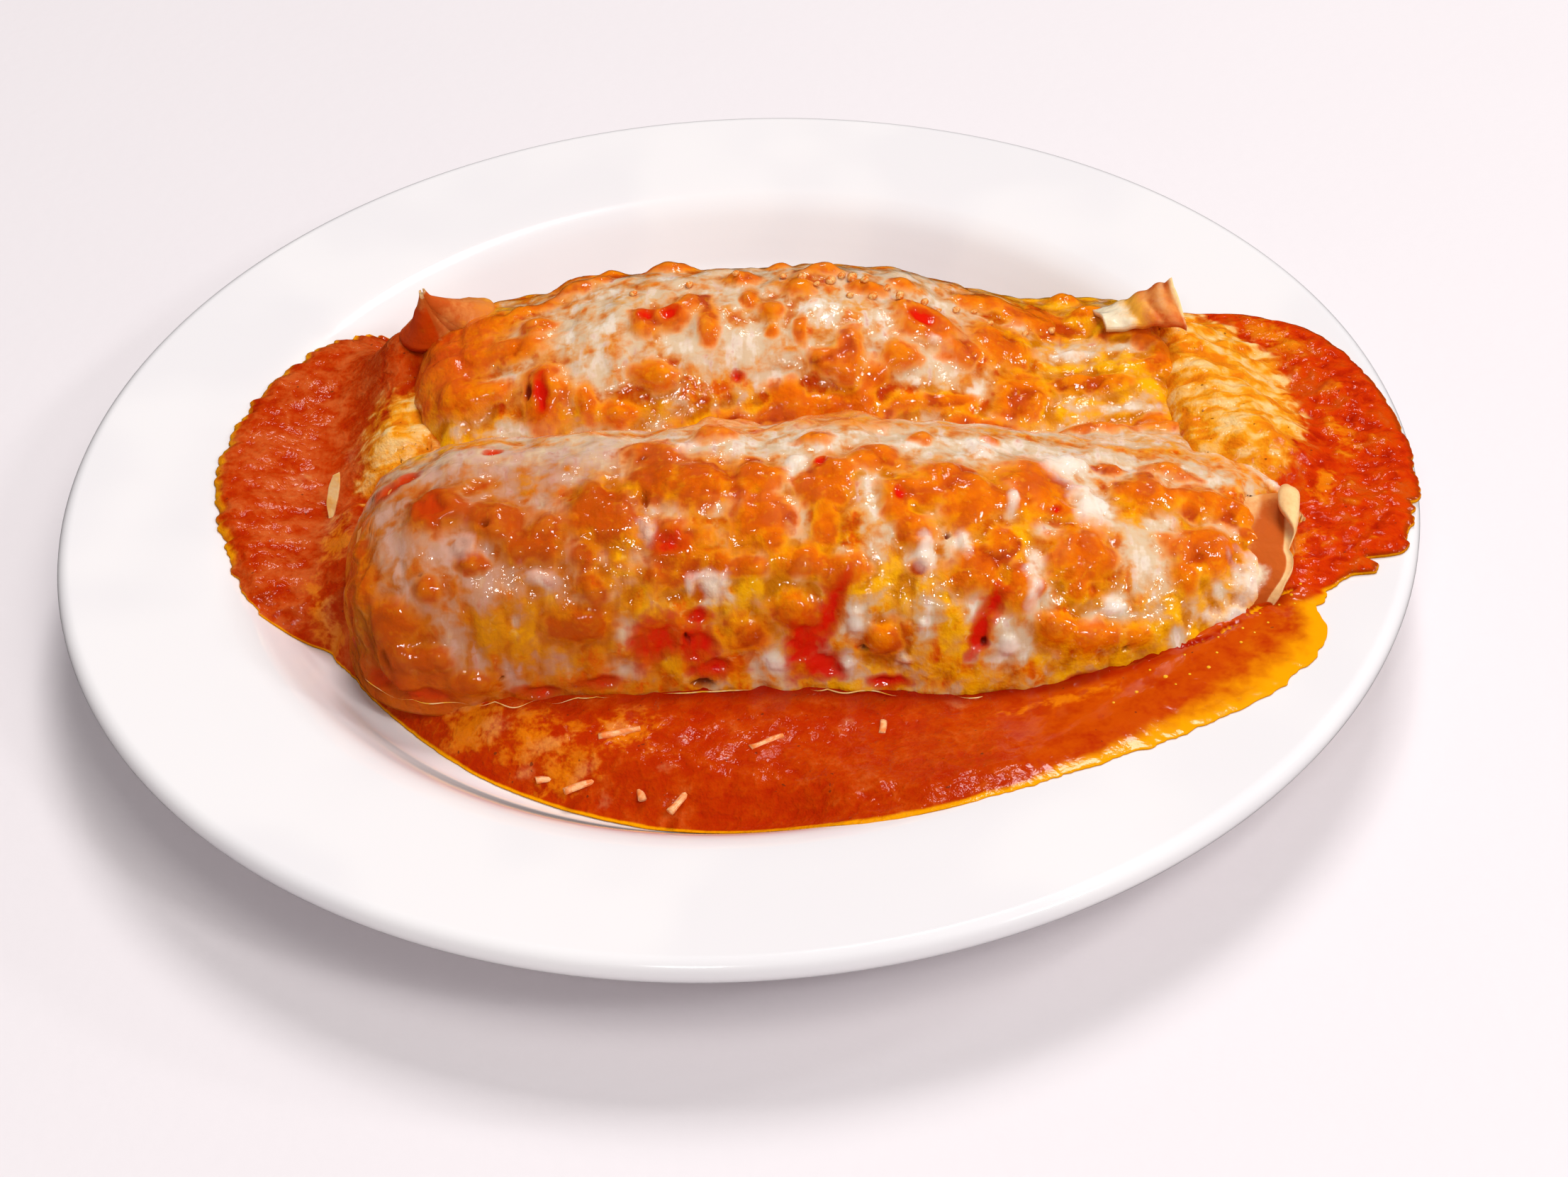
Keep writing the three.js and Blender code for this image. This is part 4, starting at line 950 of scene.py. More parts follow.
def cheese_relief(base, v, values):
    """Height of the blisters, folds and runs above the smooth cheese."""
    swells = 0.75 * lumps(base, 11, 3) + 0.4 * lumps(base, 4.8, 4)
    big, small = bubbles(base, 8.2, 5), bubbles(base, 3.6, 6)
    values["dome"] = 0.65 * big + 0.35 * small
    soft = blurred(values["browned"], 3) if v.ndim == 2 else values["browned"]
    toast = smooth(1.0 * soft + 0.45)
    skin = 0.45 * bubbles(base, 6.4, 7) + 0.12 * bubbles(base, 3.0, 8)
    calm = smooth(values["milky"] + 0.35)
    runs = 0.5 * billows(base * np.array([1, 0.3, 0.3]), 3.4, 9) * smooth((1.0 - v) / 0.4)
    milk = 0.35 * calm + 0.8 * smooth(1.6 * values["thick"])
    hollow = 0.8 * smooth(2 * values["red"]) + 1.3 * smooth(2 * values["dark"])
    plain = (skin + runs) * mix(1, 0.6, calm)
    return swells + mix(plain, 0.7 + 1.6 * big + 0.4 * small, toast) + milk - hollow - 1.1


def cheese_outside(x, v):
    """The smooth cheese, its outside with all its relief, and the values that colour it."""
    base, along, across, out = tangents(cheese_point, x, v, 0.4, 0.01)
    values = cheese_values(base, x, v)
    relief = cheese_relief(base, v, values) * smooth((base[..., 2] - BASE_Z) / 5)
    skirt = 1.3 * np.exp(-(((base[..., 2] - SAUCE_LEVEL - 0.3) / 1.2) ** 2)) * billows(base, 7, 10)
    if relief.ndim == 2:
        values["rise"] = relief - blurred(relief, 5)
    return base, base + out * (relief + skirt)[..., None], values


def cheese_material(look):
    r = Recipe("browned_cheese")
    names = ("milky", "thick", "browned", "golden", "red", "dark", "rise", "shade", "sauced", "dome")
    milky, thick, browned, golden, red, dark, rise, shade, sauced, dome = (r.value(name) for name in names)
    broad = r.noise(9.0, detail=2, warp=0.6)
    patch = r.noise(3.2, detail=2, warp=0.5)
    fine = r.noise(1.1, detail=2)
    grain = r.noise(0.45, detail=2)
    runs = r.noise(1.0, detail=2, warp=0.4, where=r.drape(2.0, 7.0))
    cloud = r.plus(-1.7, (broad, 1.3), (patch, 1.6), (fine, 0.5))
    streak = r.plus(-1.7, (runs, 1.8), (patch, 0.9), (fine, 0.7))

    def inside(value, pattern, share, low, high, most=1.0):
        """How covered a place is, where the strokes' own edge is 0 and the pattern frays it."""
        return r.step(r.plus(value, (pattern, share)), low, high, 0.0, most)

    tone = r.blend(r.step(streak, -0.5, 0.4), look.amber, look.honey_and_highlight)
    tone = r.blend(r.step(cloud, -0.6, 0.05, 0.75, 0.0), tone, look.ember)
    tone = r.blend(inside(golden, streak, 0.8, -0.7, 0.4, 0.92), tone, look.gold)
    tone = r.blend(r.step(r.noise(2.0, detail=2, warp=0.4), 0.58, 0.72, 0.0, 0.45), tone, look.straw)
    # painted shade: darker in the low places of the relief
    crease = r.step(r.plus(rise, (grain, 0.2)), -0.3, 0.15, 0.6, 0.0)
    tone = r.blend(crease, tone, look.crease)
    tone = r.blend(inside(milky, cloud, 0.8, -0.6, 0.3, 0.8), tone, look.halo)
    tone = r.blend(inside(milky, cloud, 1.3, -0.25, 0.7, 0.92), tone, look.veil)
    tone = r.blend(inside(milky, streak, 1.4, 0.4, 1.2, 0.7), tone, look.cream)
    # painted shade: the blisters darker red-brown where their domes meet
    toast = r.blend(r.step(r.plus(dome, (fine, 0.3)), 0.3, 0.85), look.crease, look.orange)
    toast = r.blend(inside(browned, cloud, 0.9, 0.2, 1.0, 0.55), toast, look.rust_and_shade)
    # painted shade: rust towards the front roll's left end and in the low places of the relief
    toast = r.blend(r.times(r.step(r.plus(shade, (patch, 0.6)), 0.2, 1.0), 0.75), toast, look.rust_and_shade)
    toast = r.blend(r.step(r.plus(rise, (grain, 0.3)), -0.5, 0.3, 0.75, 0.0), toast, look.rust_and_shade)
    # painted highlight: the high places of the relief lighter honey
    toast = r.blend(r.step(r.plus(rise, (fine, 1.0)), 0.85, 1.5, 0.0, 0.6), toast, look.honey_and_highlight)
    toast = r.blend(r.step(r.noise(1.6, detail=2), 0.56, 0.74, 0.0, 0.25), toast, look.gold)
    tone = r.blend(inside(browned, cloud, 0.45, -0.5, 0.0, 0.7), tone, look.honey_and_highlight)
    tone = r.blend(inside(browned, cloud, 0.45, -0.2, 0.35, 0.92), tone, toast)
    tone = r.blend(r.times(r.step(r.plus(sauced, (streak, 1.0)), 0.2, 1.1), 0.7), tone, look.sauced)
    tone = r.blend(inside(thick, cloud, 0.8, -0.4, 0.9, 0.78), tone, look.cream)
    tone = r.blend(inside(red, cloud, 0.7, -0.6, 0.1, 0.85), tone, look.ember)
    tone = r.blend(inside(red, cloud, 0.9, 0.0, 0.6, 0.95), tone, look.red)
    tone = r.blend(inside(dark, cloud, 0.4, -0.1, 0.8, 0.9), tone, look.dark)
    # painted shade: darker towards the front roll's left end
    tone = r.blend(r.times(r.step(r.plus(shade, (streak, 0.8)), 0.0, 1.0), 0.6), tone, look.shade)
    height = r.plus(0.0, (patch, 1.0), (fine, 0.6), (runs, 0.3), (grain, 0.1))
    uneven = r.bump(r.times(height, inside(milky, cloud, 0.5, 1.2, -0.5)), 0.5)
    wet = r.bump(r.plus(0.0, (patch, 0.8), (fine, 0.2)), 0.5)
    return r.finish(
        Base_Color=tone, Roughness=0.45, Normal=uneven, Specular_IOR_Level=0.06, Coat_Weight=1.0,
        Coat_Roughness=0.06, Coat_IOR=1.5, Coat_Normal=wet, Subsurface_Weight=0.12,
        Subsurface_Radius=(1.0, 0.5, 0.25), Subsurface_Scale=1.5 * MM,
    )


def spread(line, count, even_share):
    """Shares from 0 to 1 that step evenly along a line of points, mixed with plain even shares."""
    lengths = np.concatenate([[0], np.cumsum(np.linalg.norm(np.diff(line, axis=0), axis=1))])
    shares = np.linspace(0, 1, count + 1)
    by_length = np.interp(shares * lengths[-1], lengths, np.linspace(0, 1, len(line)))
    return mix(by_length, shares, even_share)


CHEESE_GRID = (300, 285)  # along the rolls, and over them from front to back
UNDERSIDE_GRID = (60, 48)


class CANNELLONI_OT_cheese(bpy.types.Operator):
    """Drapes the browned, blistered cheese over both rolls"""

    bl_idname = "cannelloni.cheese"
    bl_label = "Melted Cheese"

    def execute(self, context):
        look = context.scene.cannelloni_cheese
        bm, u, v = grid_mesh(*CHEESE_GRID)
        left, right = min(FRONT.left, BACK.left) + 0.02, max(FRONT.right, BACK.right) - 0.02
        ridge = cheese_point(np.linspace(left, right, 800), 1.0)
        x = mix(left, right, spread(ridge, u.shape[1] - 1, 0.45))[None, :] + 0 * u
        v = self.rows_along(x, v.shape[0] - 1)
        base, places, values = cheese_outside(x, v)
        move_to(bm, places)
        keep_values(bm, values)
        bm.verts.index_update()
        across_lengths = np.concatenate(
            [np.zeros((1, u.shape[1])), np.cumsum(np.linalg.norm(np.diff(base, axis=0), axis=-1), axis=0)]
        )
        drape = np.stack([base[..., 0], across_lengths], -1).reshape(-1, 2)
        keep_uv(bm, bm.faces[:], drape)
        self.add_underside(bm, left, right, look.thickness / MM)
        finish_piece(bm, "cheese_blanket", cheese_material(look), ["melted_cheese"])
        return {"FINISHED"}

    @staticmethod
    def rows_along(x, rows):
        """Places v that step evenly over the cheese at each column, closer together on the front."""
        fine = np.linspace(0, 3, 400)
        columns = []
        for place in x[0]:
            line = cheese_point(place, fine)
            steps = np.linalg.norm(np.diff(line, axis=0), axis=1) * np.where(fine[:-1] < 1.3, 1.25, 1.0)
            lengths = np.concatenate([[0], np.cumsum(steps)])
            columns.append(np.interp(np.linspace(0, lengths[-1], rows + 1), lengths, fine))
        return np.stack(columns, -1)

    @staticmethod
    def add_underside(bm, left, right, thickness):
        """Closes the cheese below with a plainer sheet that keeps its thickness."""
        below, u, v = grid_mesh(*UNDERSIDE_GRID)
        x = mix(left, right, 0.5 - 0.5 * np.cos(np.pi * u))
        inner = cheese_point(x, 3 * v, -thickness)
        inner[..., 2] = np.maximum(inner[..., 2], BASE_Z)
        move_to(below, inner)
        bmesh.ops.reverse_faces(below, faces=below.faces[:])
        spare = bpy.data.meshes.new("underside")
        below.to_mesh(spare)
        below.free()
        bm.from_mesh(spare)
        bpy.data.meshes.remove(spare)
        borders = [edge for edge in bm.edges if edge.is_boundary]
        bmesh.ops.bridge_loops(bm, edges=borders)


def lerp(a, b, share):
    return mix(np.asarray(a, float), np.asarray(b, float), np.asarray(share)[..., None])


CURL_START = 0.74


def front_end_surface(u, v):
    """The pale end of the front roll's pasta: u from the roll to the curled edge, v from the top down."""
    flat = np.clip(u / CURL_START, 0, 1)
    edge = mix(108.5, 102.5, v) + 0.9 * np.sin(9 * (v - 0.42)) * smooth((v - 0.42) / 0.1)
    x = mix(mix(99, 84, v), edge, flat)
    turn = np.radians(mix(12, 88, v))
    foot = 19.4 + 0.33 * (x - 87)
    top = mix(34.6, 37, (110 - x) / 25)
    tuck = 2.4 * (1 - flat) ** 2
    roll = smooth((0.46 - v) / 0.34)
    curl = np.radians(mix(70, 235, roll)) * np.clip((u - CURL_START) / (1 - CURL_START), 0, 1)
    size = 0.5 + 1.45 * roll * smooth((v + 0.02) / 0.12) + 0.12 * np.sin(23 * v + 1)
    lift = size * (1 - np.cos(curl)) - tuck
    y = -25 - (29 + lift) * np.sin(turn)
    z = foot + (top - foot) * np.maximum(0, np.cos(turn)) ** 0.9 + lift * np.cos(turn)
    return np.stack([x + size * np.sin(curl), y, z], -1)


CORNER_FEET = [
    (-62, 47, 36), (-68, 44, 35.5), (-71.4, 38.5, 35), (-69.6, 34.2, 35.6), (-65.7, 31.6, 36.2),
    (-60.6, 32.2, 36.8), (-58.6, 33.6, 37.6), (-55, 33.4, 39),
    (-51, 38, 40), (-52.5, 43.5, 39), (-57, 47, 37.5),
]
CORNER_TIP = (-64.8, 33, 50.4)


def corner_surface(u, v):
    """The raised corner of pasta at the back roll's left end: a peak with hollow sides and a deep crease."""
    ring = np.array(rounded_line(CORNER_FEET, 8))
    at = np.clip(u, 0, 1) * (len(ring) - 1)
    edge = np.stack([np.interp(at, np.arange(len(ring)), ring[:, k]) for k in range(3)], -1)
    rise = 0.94 * np.clip(v, 0, 1)
    inward = 1 - (1 - rise) ** 1.7
    place = lerp(edge, CORNER_TIP, inward)
    place[..., 2] = mix(edge[..., 2], CORNER_TIP[2], rise)
    return place


def back_end_surface(u, v):
    """The arched end of the back roll's pasta on the right, lifted clear of the cheese."""
    turn = np.radians(mix(mix(-16, -42, u), 80, v))
    x = mix(80, 95.6, u) - 1.5 * np.sin(turn)
    spike = 1.6 * np.exp(-(((v - 0.5) / 0.05) ** 2)) * smooth((u - 0.86) / 0.14)
    folds = 0.3 * np.sin(24 * u + 2 * np.sin(5 * v)) * smooth(2 * u)
    lift = mix(-7, -1, smooth(u)) + 0.4 * np.sin(9 * v + 3 * u) + spike + folds
    return np.stack([x, 28 + (12 + lift / 2) * np.sin(turn), 30 + (13 + lift) * np.cos(turn)], -1)


def flake_surface(u, v):
    """A flake of pasta that stands in the sauce against the front roll's left end."""
    place = lerp((-85.2, -8.6, 17), (-82.3, -1.2, 28.8), v)
    width = 0.9 + 1.7 * smooth((v - 0.3) / 0.35) * smooth((1.12 - v) / 0.3)
    place[..., 0] += width * (u - 0.75)
    place[..., 2] -= 0.5 * width * (1 - u)
    return place


def pasta_material(look):
    r = Recipe("pasta")
    names = ("stain", "light", "glow", "milk", "toast")
    stain, light, glow, milk, toast = (r.value(name) for name in names)
    fine, cloud = r.noise(0.9, detail=3), r.noise(5.0, detail=3, warp=0.5)
    mottle = r.plus(-0.5, (fine, 0.3), (cloud, 0.7))
    tone = r.blend(r.step(r.plus(toast, (mottle, 2.0)), 0.1, 1.0), look.tan, look.brown)
    tone = r.blend(r.step(r.plus(light, (mottle, 1.0)), 0.1, 0.9), tone, look.pale)
    tone = r.blend(r.step(r.plus(stain, (mottle, 1.2)), 0.2, 0.8), tone, look.sauced)
    tone = r.blend(r.step(r.plus(glow, (mottle, 1.4)), 0.2, 0.8), tone, look.glow)
    tone = r.blend(r.step(r.plus(milk, (mottle, 1.2)), 0.3, 1.0), tone, look.milk)
    uneven = r.bump(r.plus(0.0, (fine, 0.5), (cloud, 0.8)), 0.25)
    wet = r.step(r.plus(glow, (milk, 1.0)), 0.2, 0.8)
    return r.finish(
        Base_Color=tone, Roughness=0.5, Normal=uneven, Coat_Weight=wet, Coat_Roughness=0.12,
        Coat_Normal=uneven, Subsurface_Weight=0.15, Subsurface_Radius=(1.0, 0.5, 0.25),
        Subsurface_Scale=1.2 * MM, Specular_IOR_Level=0.08,
    )


def pasta_sheet(name, surface, columns, rows, thickness, values, material, node):
    """A sheet of pasta through the middle of a thin surface, with its edges closed."""
    bm, u, v = grid_mesh(columns, rows)
    places, along, across, out = tangents(surface, u, v, 0.01, 0.01)
    ripple = 0.3 * lumps(places, 6, 31) + 0.08 * lumps(places, 1.8, 32)
    move_to(bm, places + out * (ripple + thickness / 2)[..., None])
    keep_values(bm, values(u, v))
    bmesh.ops.solidify(bm, geom=bm.faces[:], thickness=thickness)
    return finish_piece(bm, name, material, [node])


class CANNELLONI_OT_pasta(bpy.types.Operator):
    """Folds the bare pasta ends, the raised corner and the flake"""

    bl_idname = "cannelloni.pasta"
    bl_label = "Pasta Ends"

    def execute(self, context):
        look = context.scene.cannelloni_pasta
        material = pasta_material(look)
        thick = look.thickness / MM
        sheets = (
            ("front_roll_flap", front_end_surface, 60, 90, thick, self.flap_values, "pasta_end_front"),
            ("raised_corner", corner_surface, 130, 44, thick, self.corner_values, "pasta_corner_back"),
            ("back_roll_arch", back_end_surface, 50, 70, thick, self.arch_values, "pasta_end_back"),
            ("pasta_flake", flake_surface, 12, 60, 1.0, self.flake_values, "pasta_flake_left"),
        )
        for name, surface, columns, rows, depth, values, node in sheets:
            pasta_sheet(name, surface, columns, rows, depth, values, material, node)
        for node in ("roll_front", "roll_back"):
            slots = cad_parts[node].data.materials
            slots.clear()
            slots.append(material)
        return {"FINISHED"}

    @staticmethod
    def flap_values(u, v):
        lip = smooth((u - 0.71) / 0.05)
        # the lower cream patch: cheese on the pasta, its brightness partly a painted highlight
        patch = smooth((v - 0.45) / 0.2) * np.exp(-(((u - 0.4) / 0.17) ** 2))
        left = smooth((0.34 - u) / 0.16)
        return {
            "light": np.maximum(0.62 * lip, 0.5 * smooth((0.3 - v) / 0.2) * smooth((0.5 - u) / 0.2)),
            "glow": left * smooth((v - 0.15) / 0.2), "milk": 1.4 * patch, "stain": smooth((v - 0.95) / 0.04),
            # browned pasta, partly painted shade under the curled lip
            "toast": 1.2 * (1 - lip) * smooth((v + 0.1) / 0.3) * smooth((u - 0.2) / 0.3),
        }

    @staticmethod
    def corner_values(u, v):
        front = smooth((u - 0.12) / 0.1) * smooth((0.5 - u) / 0.04)
        right = smooth((u - 0.5) / 0.04)
        fold = np.exp(-(((u - 0.43) / 0.02) ** 2)) * smooth((0.5 - v) / 0.3)
        # painted shade: darker brown along the crease
        seam_shade = np.exp(-(((u - 0.49) / 0.06) ** 2))
        return {
            "stain": 0.9 * front * smooth((0.9 - v) / 0.4) + 0.3 * right, "milk": 0 * u,
            "glow": 0.35 * right * smooth((0.4 - v) / 0.3),
            "light": 0.6 * smooth((v - 0.9) / 0.08) + 0.5 * fold,
            "toast": np.maximum(seam_shade, 0.55 + 0.6 * right * smooth((v - 0.4) / 0.2)),
        }

    @staticmethod
    def arch_values(u, v):
        streak = 0.5 + 0.5 * np.sin(31 * u + 3 * np.sin(6 * v))
        return {
            "light": 0.7 * smooth((u - 0.93) / 0.06) + 0.3 * streak, "milk": 0.9 * smooth((0.62 - u) / 0.4),
            "glow": 0.9 * smooth((0.75 - u) / 0.4), "stain": 0.2 + 0.3 * smooth((0.2 - v) / 0.15),
            "toast": smooth((u - 0.4) / 0.3) * (0.4 * (1 - streak) + 0.6 * smooth((v - 0.4) / 0.2)),
        }

    @staticmethod
    def flake_values(u, v):
        return {
            "light": 1.0 * smooth((v - 0.05) / 0.2), "glow": 0.45 * smooth((v - 0.1) / 0.3),
            "stain": 0.7 * smooth((0.1 - v) / 0.1), "milk": 0 * u, "toast": 0 * u,
        }


# Shreds of cheese on the sauce: place, turn and length.
SHREDS = [
    (-30, -82, 24, 9.5), (-12, -88, 55, 9), (-24, -72.5, 12, 8), (4, -77, 25, 7), (-38, -79, 10, 4),
    (26, -75, 80, 3.6), (-20, -86, 100, 3.4),
]
# Drops of oil on the sauce: place and radius.
OIL_DROPS = [
    (99, -52, 0.3), (103.6, -50.3, 0.26), (106.8, -51.6, 0.36), (104, -54, 0.26), (96, -60, 0.3),
    (87.8, -70.5, 0.42), (79.5, -71.9, 0.5), (73.6, -75.3, 0.38), (84, -66, 0.26), (91, -62, 0.24),
    (77, -69, 0.28), (100, -56, 0.24), (90, -66.5, 0.3), (95, -64, 0.34), (84, -72, 0.3), (109, -49, 0.3),
    (107, -54, 0.24), (69, -77.5, 0.3), (81, -74.5, 0.24), (101, -59, 0.28), (98, -61.5, 0.24),
]
# Crumbs on the back roll's ridge: place x and v, and size.
CRUMBS = [
    (16, 2.06, 1.8), (19, 2.02, 1.3), (22, 2.06, 2.2), (24.5, 2.1, 1.6), (26.7, 2.08, 2.3), (29, 2.03, 1.7),
    (31, 1.99, 2.0), (34, 2.04, 1.5), (36, 1.97, 1.9), (39, 2.0, 1.3), (41, 1.96, 1.7), (49, 2.03, 1.6),
    (56, 2.0, 1.3), (63, 1.97, 1.4), (12, 2.1, 1.3), (45, 2.0, 1.1), (-8, 2.08, 1.6), (2, 2.1, 1.4),
    (-20, 2.06, 1.5), (69, 2.02, 1.6), (53, 2.06, 1.2), (26, 1.98, 1.4),
]


def sauce_top(x, y):
    """The smooth height of the sauce at places on it."""
    x, y = np.asarray(x, float), np.asarray(y, float)
    return sauce_height(x, y, shore_line(np.degrees(np.arctan2(y, x)) % 360))[0]


def add_blob(bm, place, sizes, turn):
    """A small round lump: its place, half sizes and turn about Z in degrees."""
    turned = Matrix.Rotation(math.radians(turn), 4, "Z")
    matrix = Matrix.Translation(place) @ turned @ Matrix.Diagonal((*sizes, 1))
    bmesh.ops.create_uvsphere(bm, u_segments=12, v_segments=7, radius=1.0, matrix=matrix)


def roughen(bm, size, by, seed):
    """Moves every point of a mesh a little, so that like shapes differ."""
    spots = np.array([vertex.co for vertex in bm.verts])
    move_to(bm, spots + by * np.stack([lumps(spots, size, seed + k) for k in range(3)], -1))


def scrap_material(name, first, second, size, roughness=0.4):
    r = Recipe(name)
    fine, cloud = r.noise(size / 3, detail=2), r.noise(size, detail=3)
    tone = r.blend(r.step(r.plus(0.0, (fine, 0.4), (cloud, 0.6)), 0.4, 0.6), first, second)
    uneven = r.bump(fine, 0.15)
    return r.finish(
        Base_Color=tone, Roughness=roughness, Normal=uneven, Coat_Weight=0.7, Coat_Roughness=0.1,
        Specular_IOR_Level=0.3, Subsurface_Weight=0.15, Subsurface_Radius=(1.0, 0.6, 0.3),
        Subsurface_Scale=1.0 * MM,
    )


EDGE_GRID = (700, 6)  # along the cheese's lower edge, and round its thin line
EDGE_ENDS = (-74, 84)


class CANNELLONI_OT_scraps(bpy.types.Operator):
    """Strews shreds of cheese, crumbs and drops of oil, and lays the cheese's bright lower edge"""

    bl_idname = "cannelloni.scraps"
    bl_label = "Shreds and Crumbs"

    def execute(self, context):
        look = context.scene.cannelloni_scrap
        self.add_shreds(look)
        self.add_drops(look)
        self.add_crumbs(look)
        self.add_edge(look)
        return {"FINISHED"}

    @staticmethod
    def add_shreds(look):
        bm = bmesh.new()
        for x, y, turn, long in SHREDS:
            place = Matrix.Translation((x, y, float(sauce_top(x, y)) - 0.05))
            lie = Matrix.Rotation(math.radians(turn), 4, "Z") @ Matrix.Rotation(math.radians(90), 4, "Y")
            flat = Matrix.Diagonal((0.7, 1.0, 1.0, 1.0))
            bmesh.ops.create_cone(
                bm, cap_ends=True, segments=8, radius1=0.85, radius2=0.65, depth=long,
                matrix=place @ lie @ flat,
            )
        bmesh.ops.subdivide_edges(bm, edges=[edge for edge in bm.edges if edge.calc_length() > 2], cuts=6)
        roughen(bm, 3.0, 0.22, 51)
        material = scrap_material("cheese_shreds", look.shred, look.stain, 2.5)
        finish_piece(bm, "cheese_shreds", material)

    @staticmethod
    def add_drops(look):
        bm = bmesh.new()
        for x, y, radius in OIL_DROPS:
            add_blob(bm, (x, y, float(sauce_top(x, y))), (radius, radius, 0.5 * radius), 0)
        finish_piece(bm, "oil_drops", scrap_material("oil", look.oil, look.oil, 2.0, 0.15))

    @staticmethod
    def add_crumbs(look):
        x, v, size = np.array(CRUMBS).T
        places = cheese_outside(x, v)[1]
        bm = bmesh.new()
        for place, half in zip(places, size / 2):
            add_blob(bm, place + [0, 0, 0.5 * half], (1.3 * half, half, 0.8 * half), 60 * half)
        roughen(bm, 1.2, 0.16, 61)
        finish_piece(bm, "crumbs", scrap_material("crumbs", look.crumb, look.dust, 0.8))

    @staticmethod
    def add_edge(look):
        """The thin bright line along the cheese's lower edge in front, scalloped where it meets the sauce."""
        bm, u, turn = grid_mesh(*EDGE_GRID)
        x = mix(*EDGE_ENDS, u)
        start = np.stack([x, 0 * x, 0 * x], -1)
        scallop = billows(start, 8, 71)
        height = SAUCE_LEVEL + 0.3 + 0.5 * scallop
        tall = FRONT.height(x) + SAUCE_LEVEL - BASE_Z
        rise = ((height - BASE_Z) / tall) ** (SECTION_POWER / 2)
        base = cheese_point(x, np.degrees(np.arcsin(np.clip(rise, 0, 1))) / 90, 0.7)
        thick = 0.15 * smooth(2 * lumps(start, 14, 73) + 0.4) * smooth(u / 0.01) * smooth((1 - u) / 0.01)
        base[..., 1] -= 3.0 * scallop
        angle = 2 * np.pi * turn
        base[..., 1] += thick * np.cos(angle)
        base[..., 2] += thick * np.sin(angle)
        move_to(bm, base)
        bmesh.ops.remove_doubles(bm, verts=bm.verts[:], dist=1e-4)
        bmesh.ops.dissolve_degenerate(bm, dist=1e-4, edges=bm.edges[:])
        # pale edge line, partly a painted highlight
        material = scrap_material("bright_edge", look.film_and_highlight, look.oil, 3.0)
        finish_piece(bm, "cheese_edge", material)


CAMERA_TARGET = (8.695, -40.299, 24.0)  # in mm


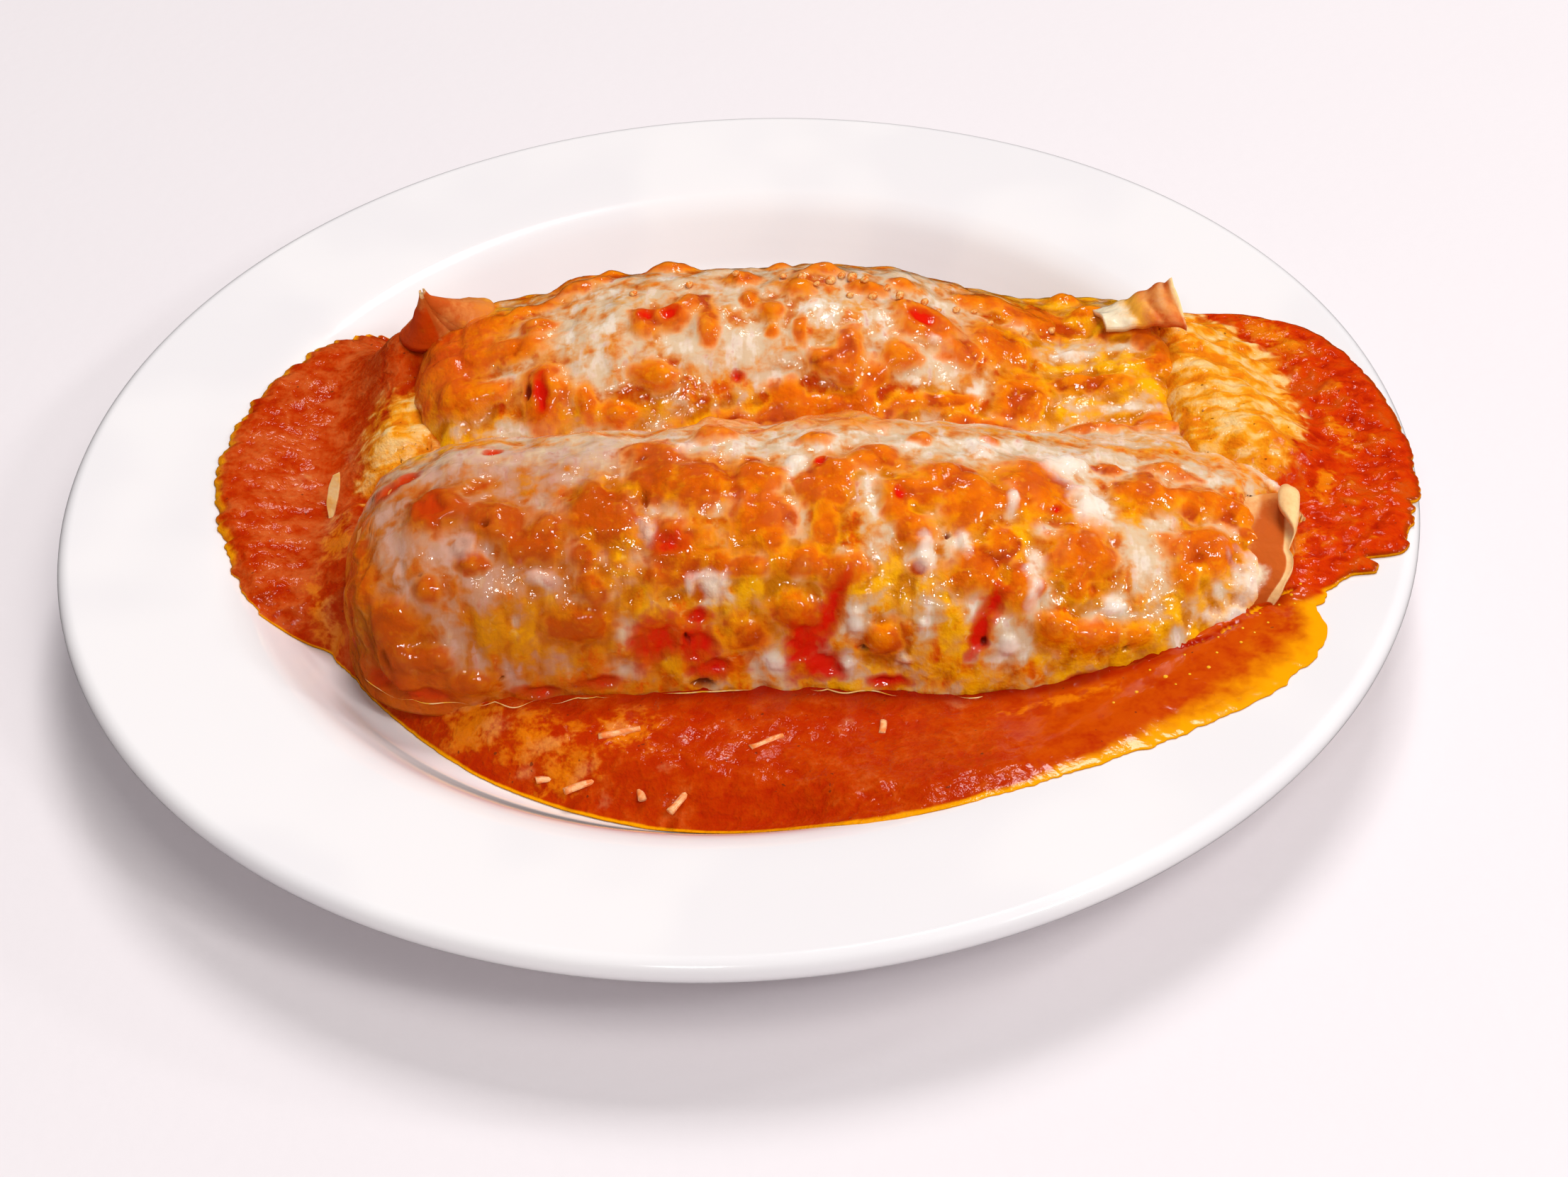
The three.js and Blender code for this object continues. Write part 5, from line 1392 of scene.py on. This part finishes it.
class CANNELLONI_OT_stage(bpy.types.Operator):
    """Sets the pale floor, the soft lights and the camera"""

    bl_idname = "cannelloni.stage"
    bl_label = "Stage"

    def execute(self, context):
        look = context.scene.cannelloni_stage
        self.add_floor(look)
        self.add_lights(context.scene, look)
        self.add_camera(context.scene, look)
        context.scene.view_settings.view_transform = "Standard"
        return {"FINISHED"}

    @staticmethod
    def add_floor(look):
        bm = bmesh.new()
        bmesh.ops.create_grid(bm, x_segments=1, y_segments=1, size=3.0)
        mesh = bpy.data.meshes.new("floor")
        bm.to_mesh(mesh)
        bm.free()
        r = Recipe("pale_floor")
        tone = r.blend(r.noise(60, detail=2), look.floor, [0.985 * c for c in look.floor])
        mesh.materials.append(r.finish(Base_Color=tone, Roughness=0.9, Normal=r.bump(r.noise(4), 0.1)))
        floor = bpy.data.objects.new("floor", mesh)
        bpy.context.scene.collection.objects.link(floor)
        floor.visible_glossy = False

    @staticmethod
    def add_lights(scene, look):
        world = bpy.data.worlds.new("white_room")
        world.use_nodes = True
        background = world.node_tree.nodes["Background"]
        background.inputs["Color"].default_value = (1.0, 0.985, 0.99, 1)
        background.inputs["Strength"].default_value = look.sky
        world.cycles_visibility.glossy = False
        scene.world = world
        lamps = [
            ("back_window", (0.5, 1.5, 3.3), 1.1, look.key, (1.0, 0.985, 0.98), False),
            ("front_window", (1.3, -1.5, 3.1), 1.4, look.fill, (1.0, 0.975, 0.94), False),
            ("back_sheen", (0.15, 0.6, 1.0), 0.16, 0.8 * look.spark, (1.0, 0.99, 0.98), True),
            ("front_spark", (0.62, -0.6, 0.7), 0.12, 1.1 * look.spark, (1.0, 1.0, 1.0), True),
            ("left_spark", (-0.15, -0.75, 0.75), 0.1, 0.7 * look.spark, (1.0, 1.0, 1.0), True),
            ("right_spark", (0.85, 0.1, 0.6), 0.1, 0.6 * look.spark, (1.0, 1.0, 1.0), True),
        ]
        for name, place, size, power, tint, mirrored in lamps:
            light = bpy.data.lights.new(name, "AREA")
            light.shape = "SQUARE"
            light.size = size
            light.energy = power
            light.color = tint
            lamp = bpy.data.objects.new(name, light)
            lamp.location = place
            aim = Vector((0, 0, 0.02)) - Vector(place)
            lamp.rotation_euler = aim.to_track_quat("-Z", "Y").to_euler()
            lamp.visible_glossy = mirrored
            scene.collection.objects.link(lamp)

    @staticmethod
    def add_camera(scene, look):
        target = Vector(CAMERA_TARGET) * MM
        back = Vector((0, -math.cos(look.elevation), math.sin(look.elevation)))
        level_right = Vector((1, 0, 0))
        level_up = back.cross(level_right)
        right = math.cos(look.roll) * level_right + math.sin(look.roll) * level_up
        up = math.cos(look.roll) * level_up - math.sin(look.roll) * level_right
        data = bpy.data.cameras.new("camera")
        data.lens = look.focal
        data.sensor_fit = "HORIZONTAL"
        data.sensor_width = 36
        data.clip_start = 0.01
        camera = bpy.data.objects.new("camera", data)
        axes = Matrix((right, up, back)).transposed().to_4x4()
        camera.matrix_world = Matrix.Translation(target + back * look.distance) @ axes
        scene.collection.objects.link(camera)
        scene.camera = camera


LOOKS = {
    "cannelloni_plate": PlateLook,
    "cannelloni_sauce": SauceLook,
    "cannelloni_cheese": CheeseLook,
    "cannelloni_pasta": PastaLook,
    "cannelloni_scrap": ScrapLook,
    "cannelloni_stage": StageLook,
}
OPERATORS = [
    CANNELLONI_OT_plate, CANNELLONI_OT_sauce, CANNELLONI_OT_cheese, CANNELLONI_OT_pasta, CANNELLONI_OT_scraps,
    CANNELLONI_OT_stage,
]


class CANNELLONI_PT_panel(bpy.types.Panel):
    bl_label = "Plate of Cannelloni"
    bl_idname = "CANNELLONI_PT_panel"
    bl_space_type = "VIEW_3D"
    bl_region_type = "UI"
    bl_category = "Cannelloni"

    def draw(self, context):
        for operator in OPERATORS:
            self.layout.operator(operator.bl_idname)


def register():
    for item in [*LOOKS.values(), *OPERATORS, CANNELLONI_PT_panel]:
        bpy.utils.register_class(item)
    for name, group in LOOKS.items():
        setattr(bpy.types.Scene, name, PointerProperty(type=group))


def unregister():
    for name in LOOKS:
        delattr(bpy.types.Scene, name)
    for item in reversed([*LOOKS.values(), *OPERATORS, CANNELLONI_PT_panel]):
        bpy.utils.unregister_class(item)


def main():
    register()
    for operator in OPERATORS:
        group, name = operator.bl_idname.split(".")
        getattr(getattr(bpy.ops, group), name)()


if __name__ == "__main__":
    main()
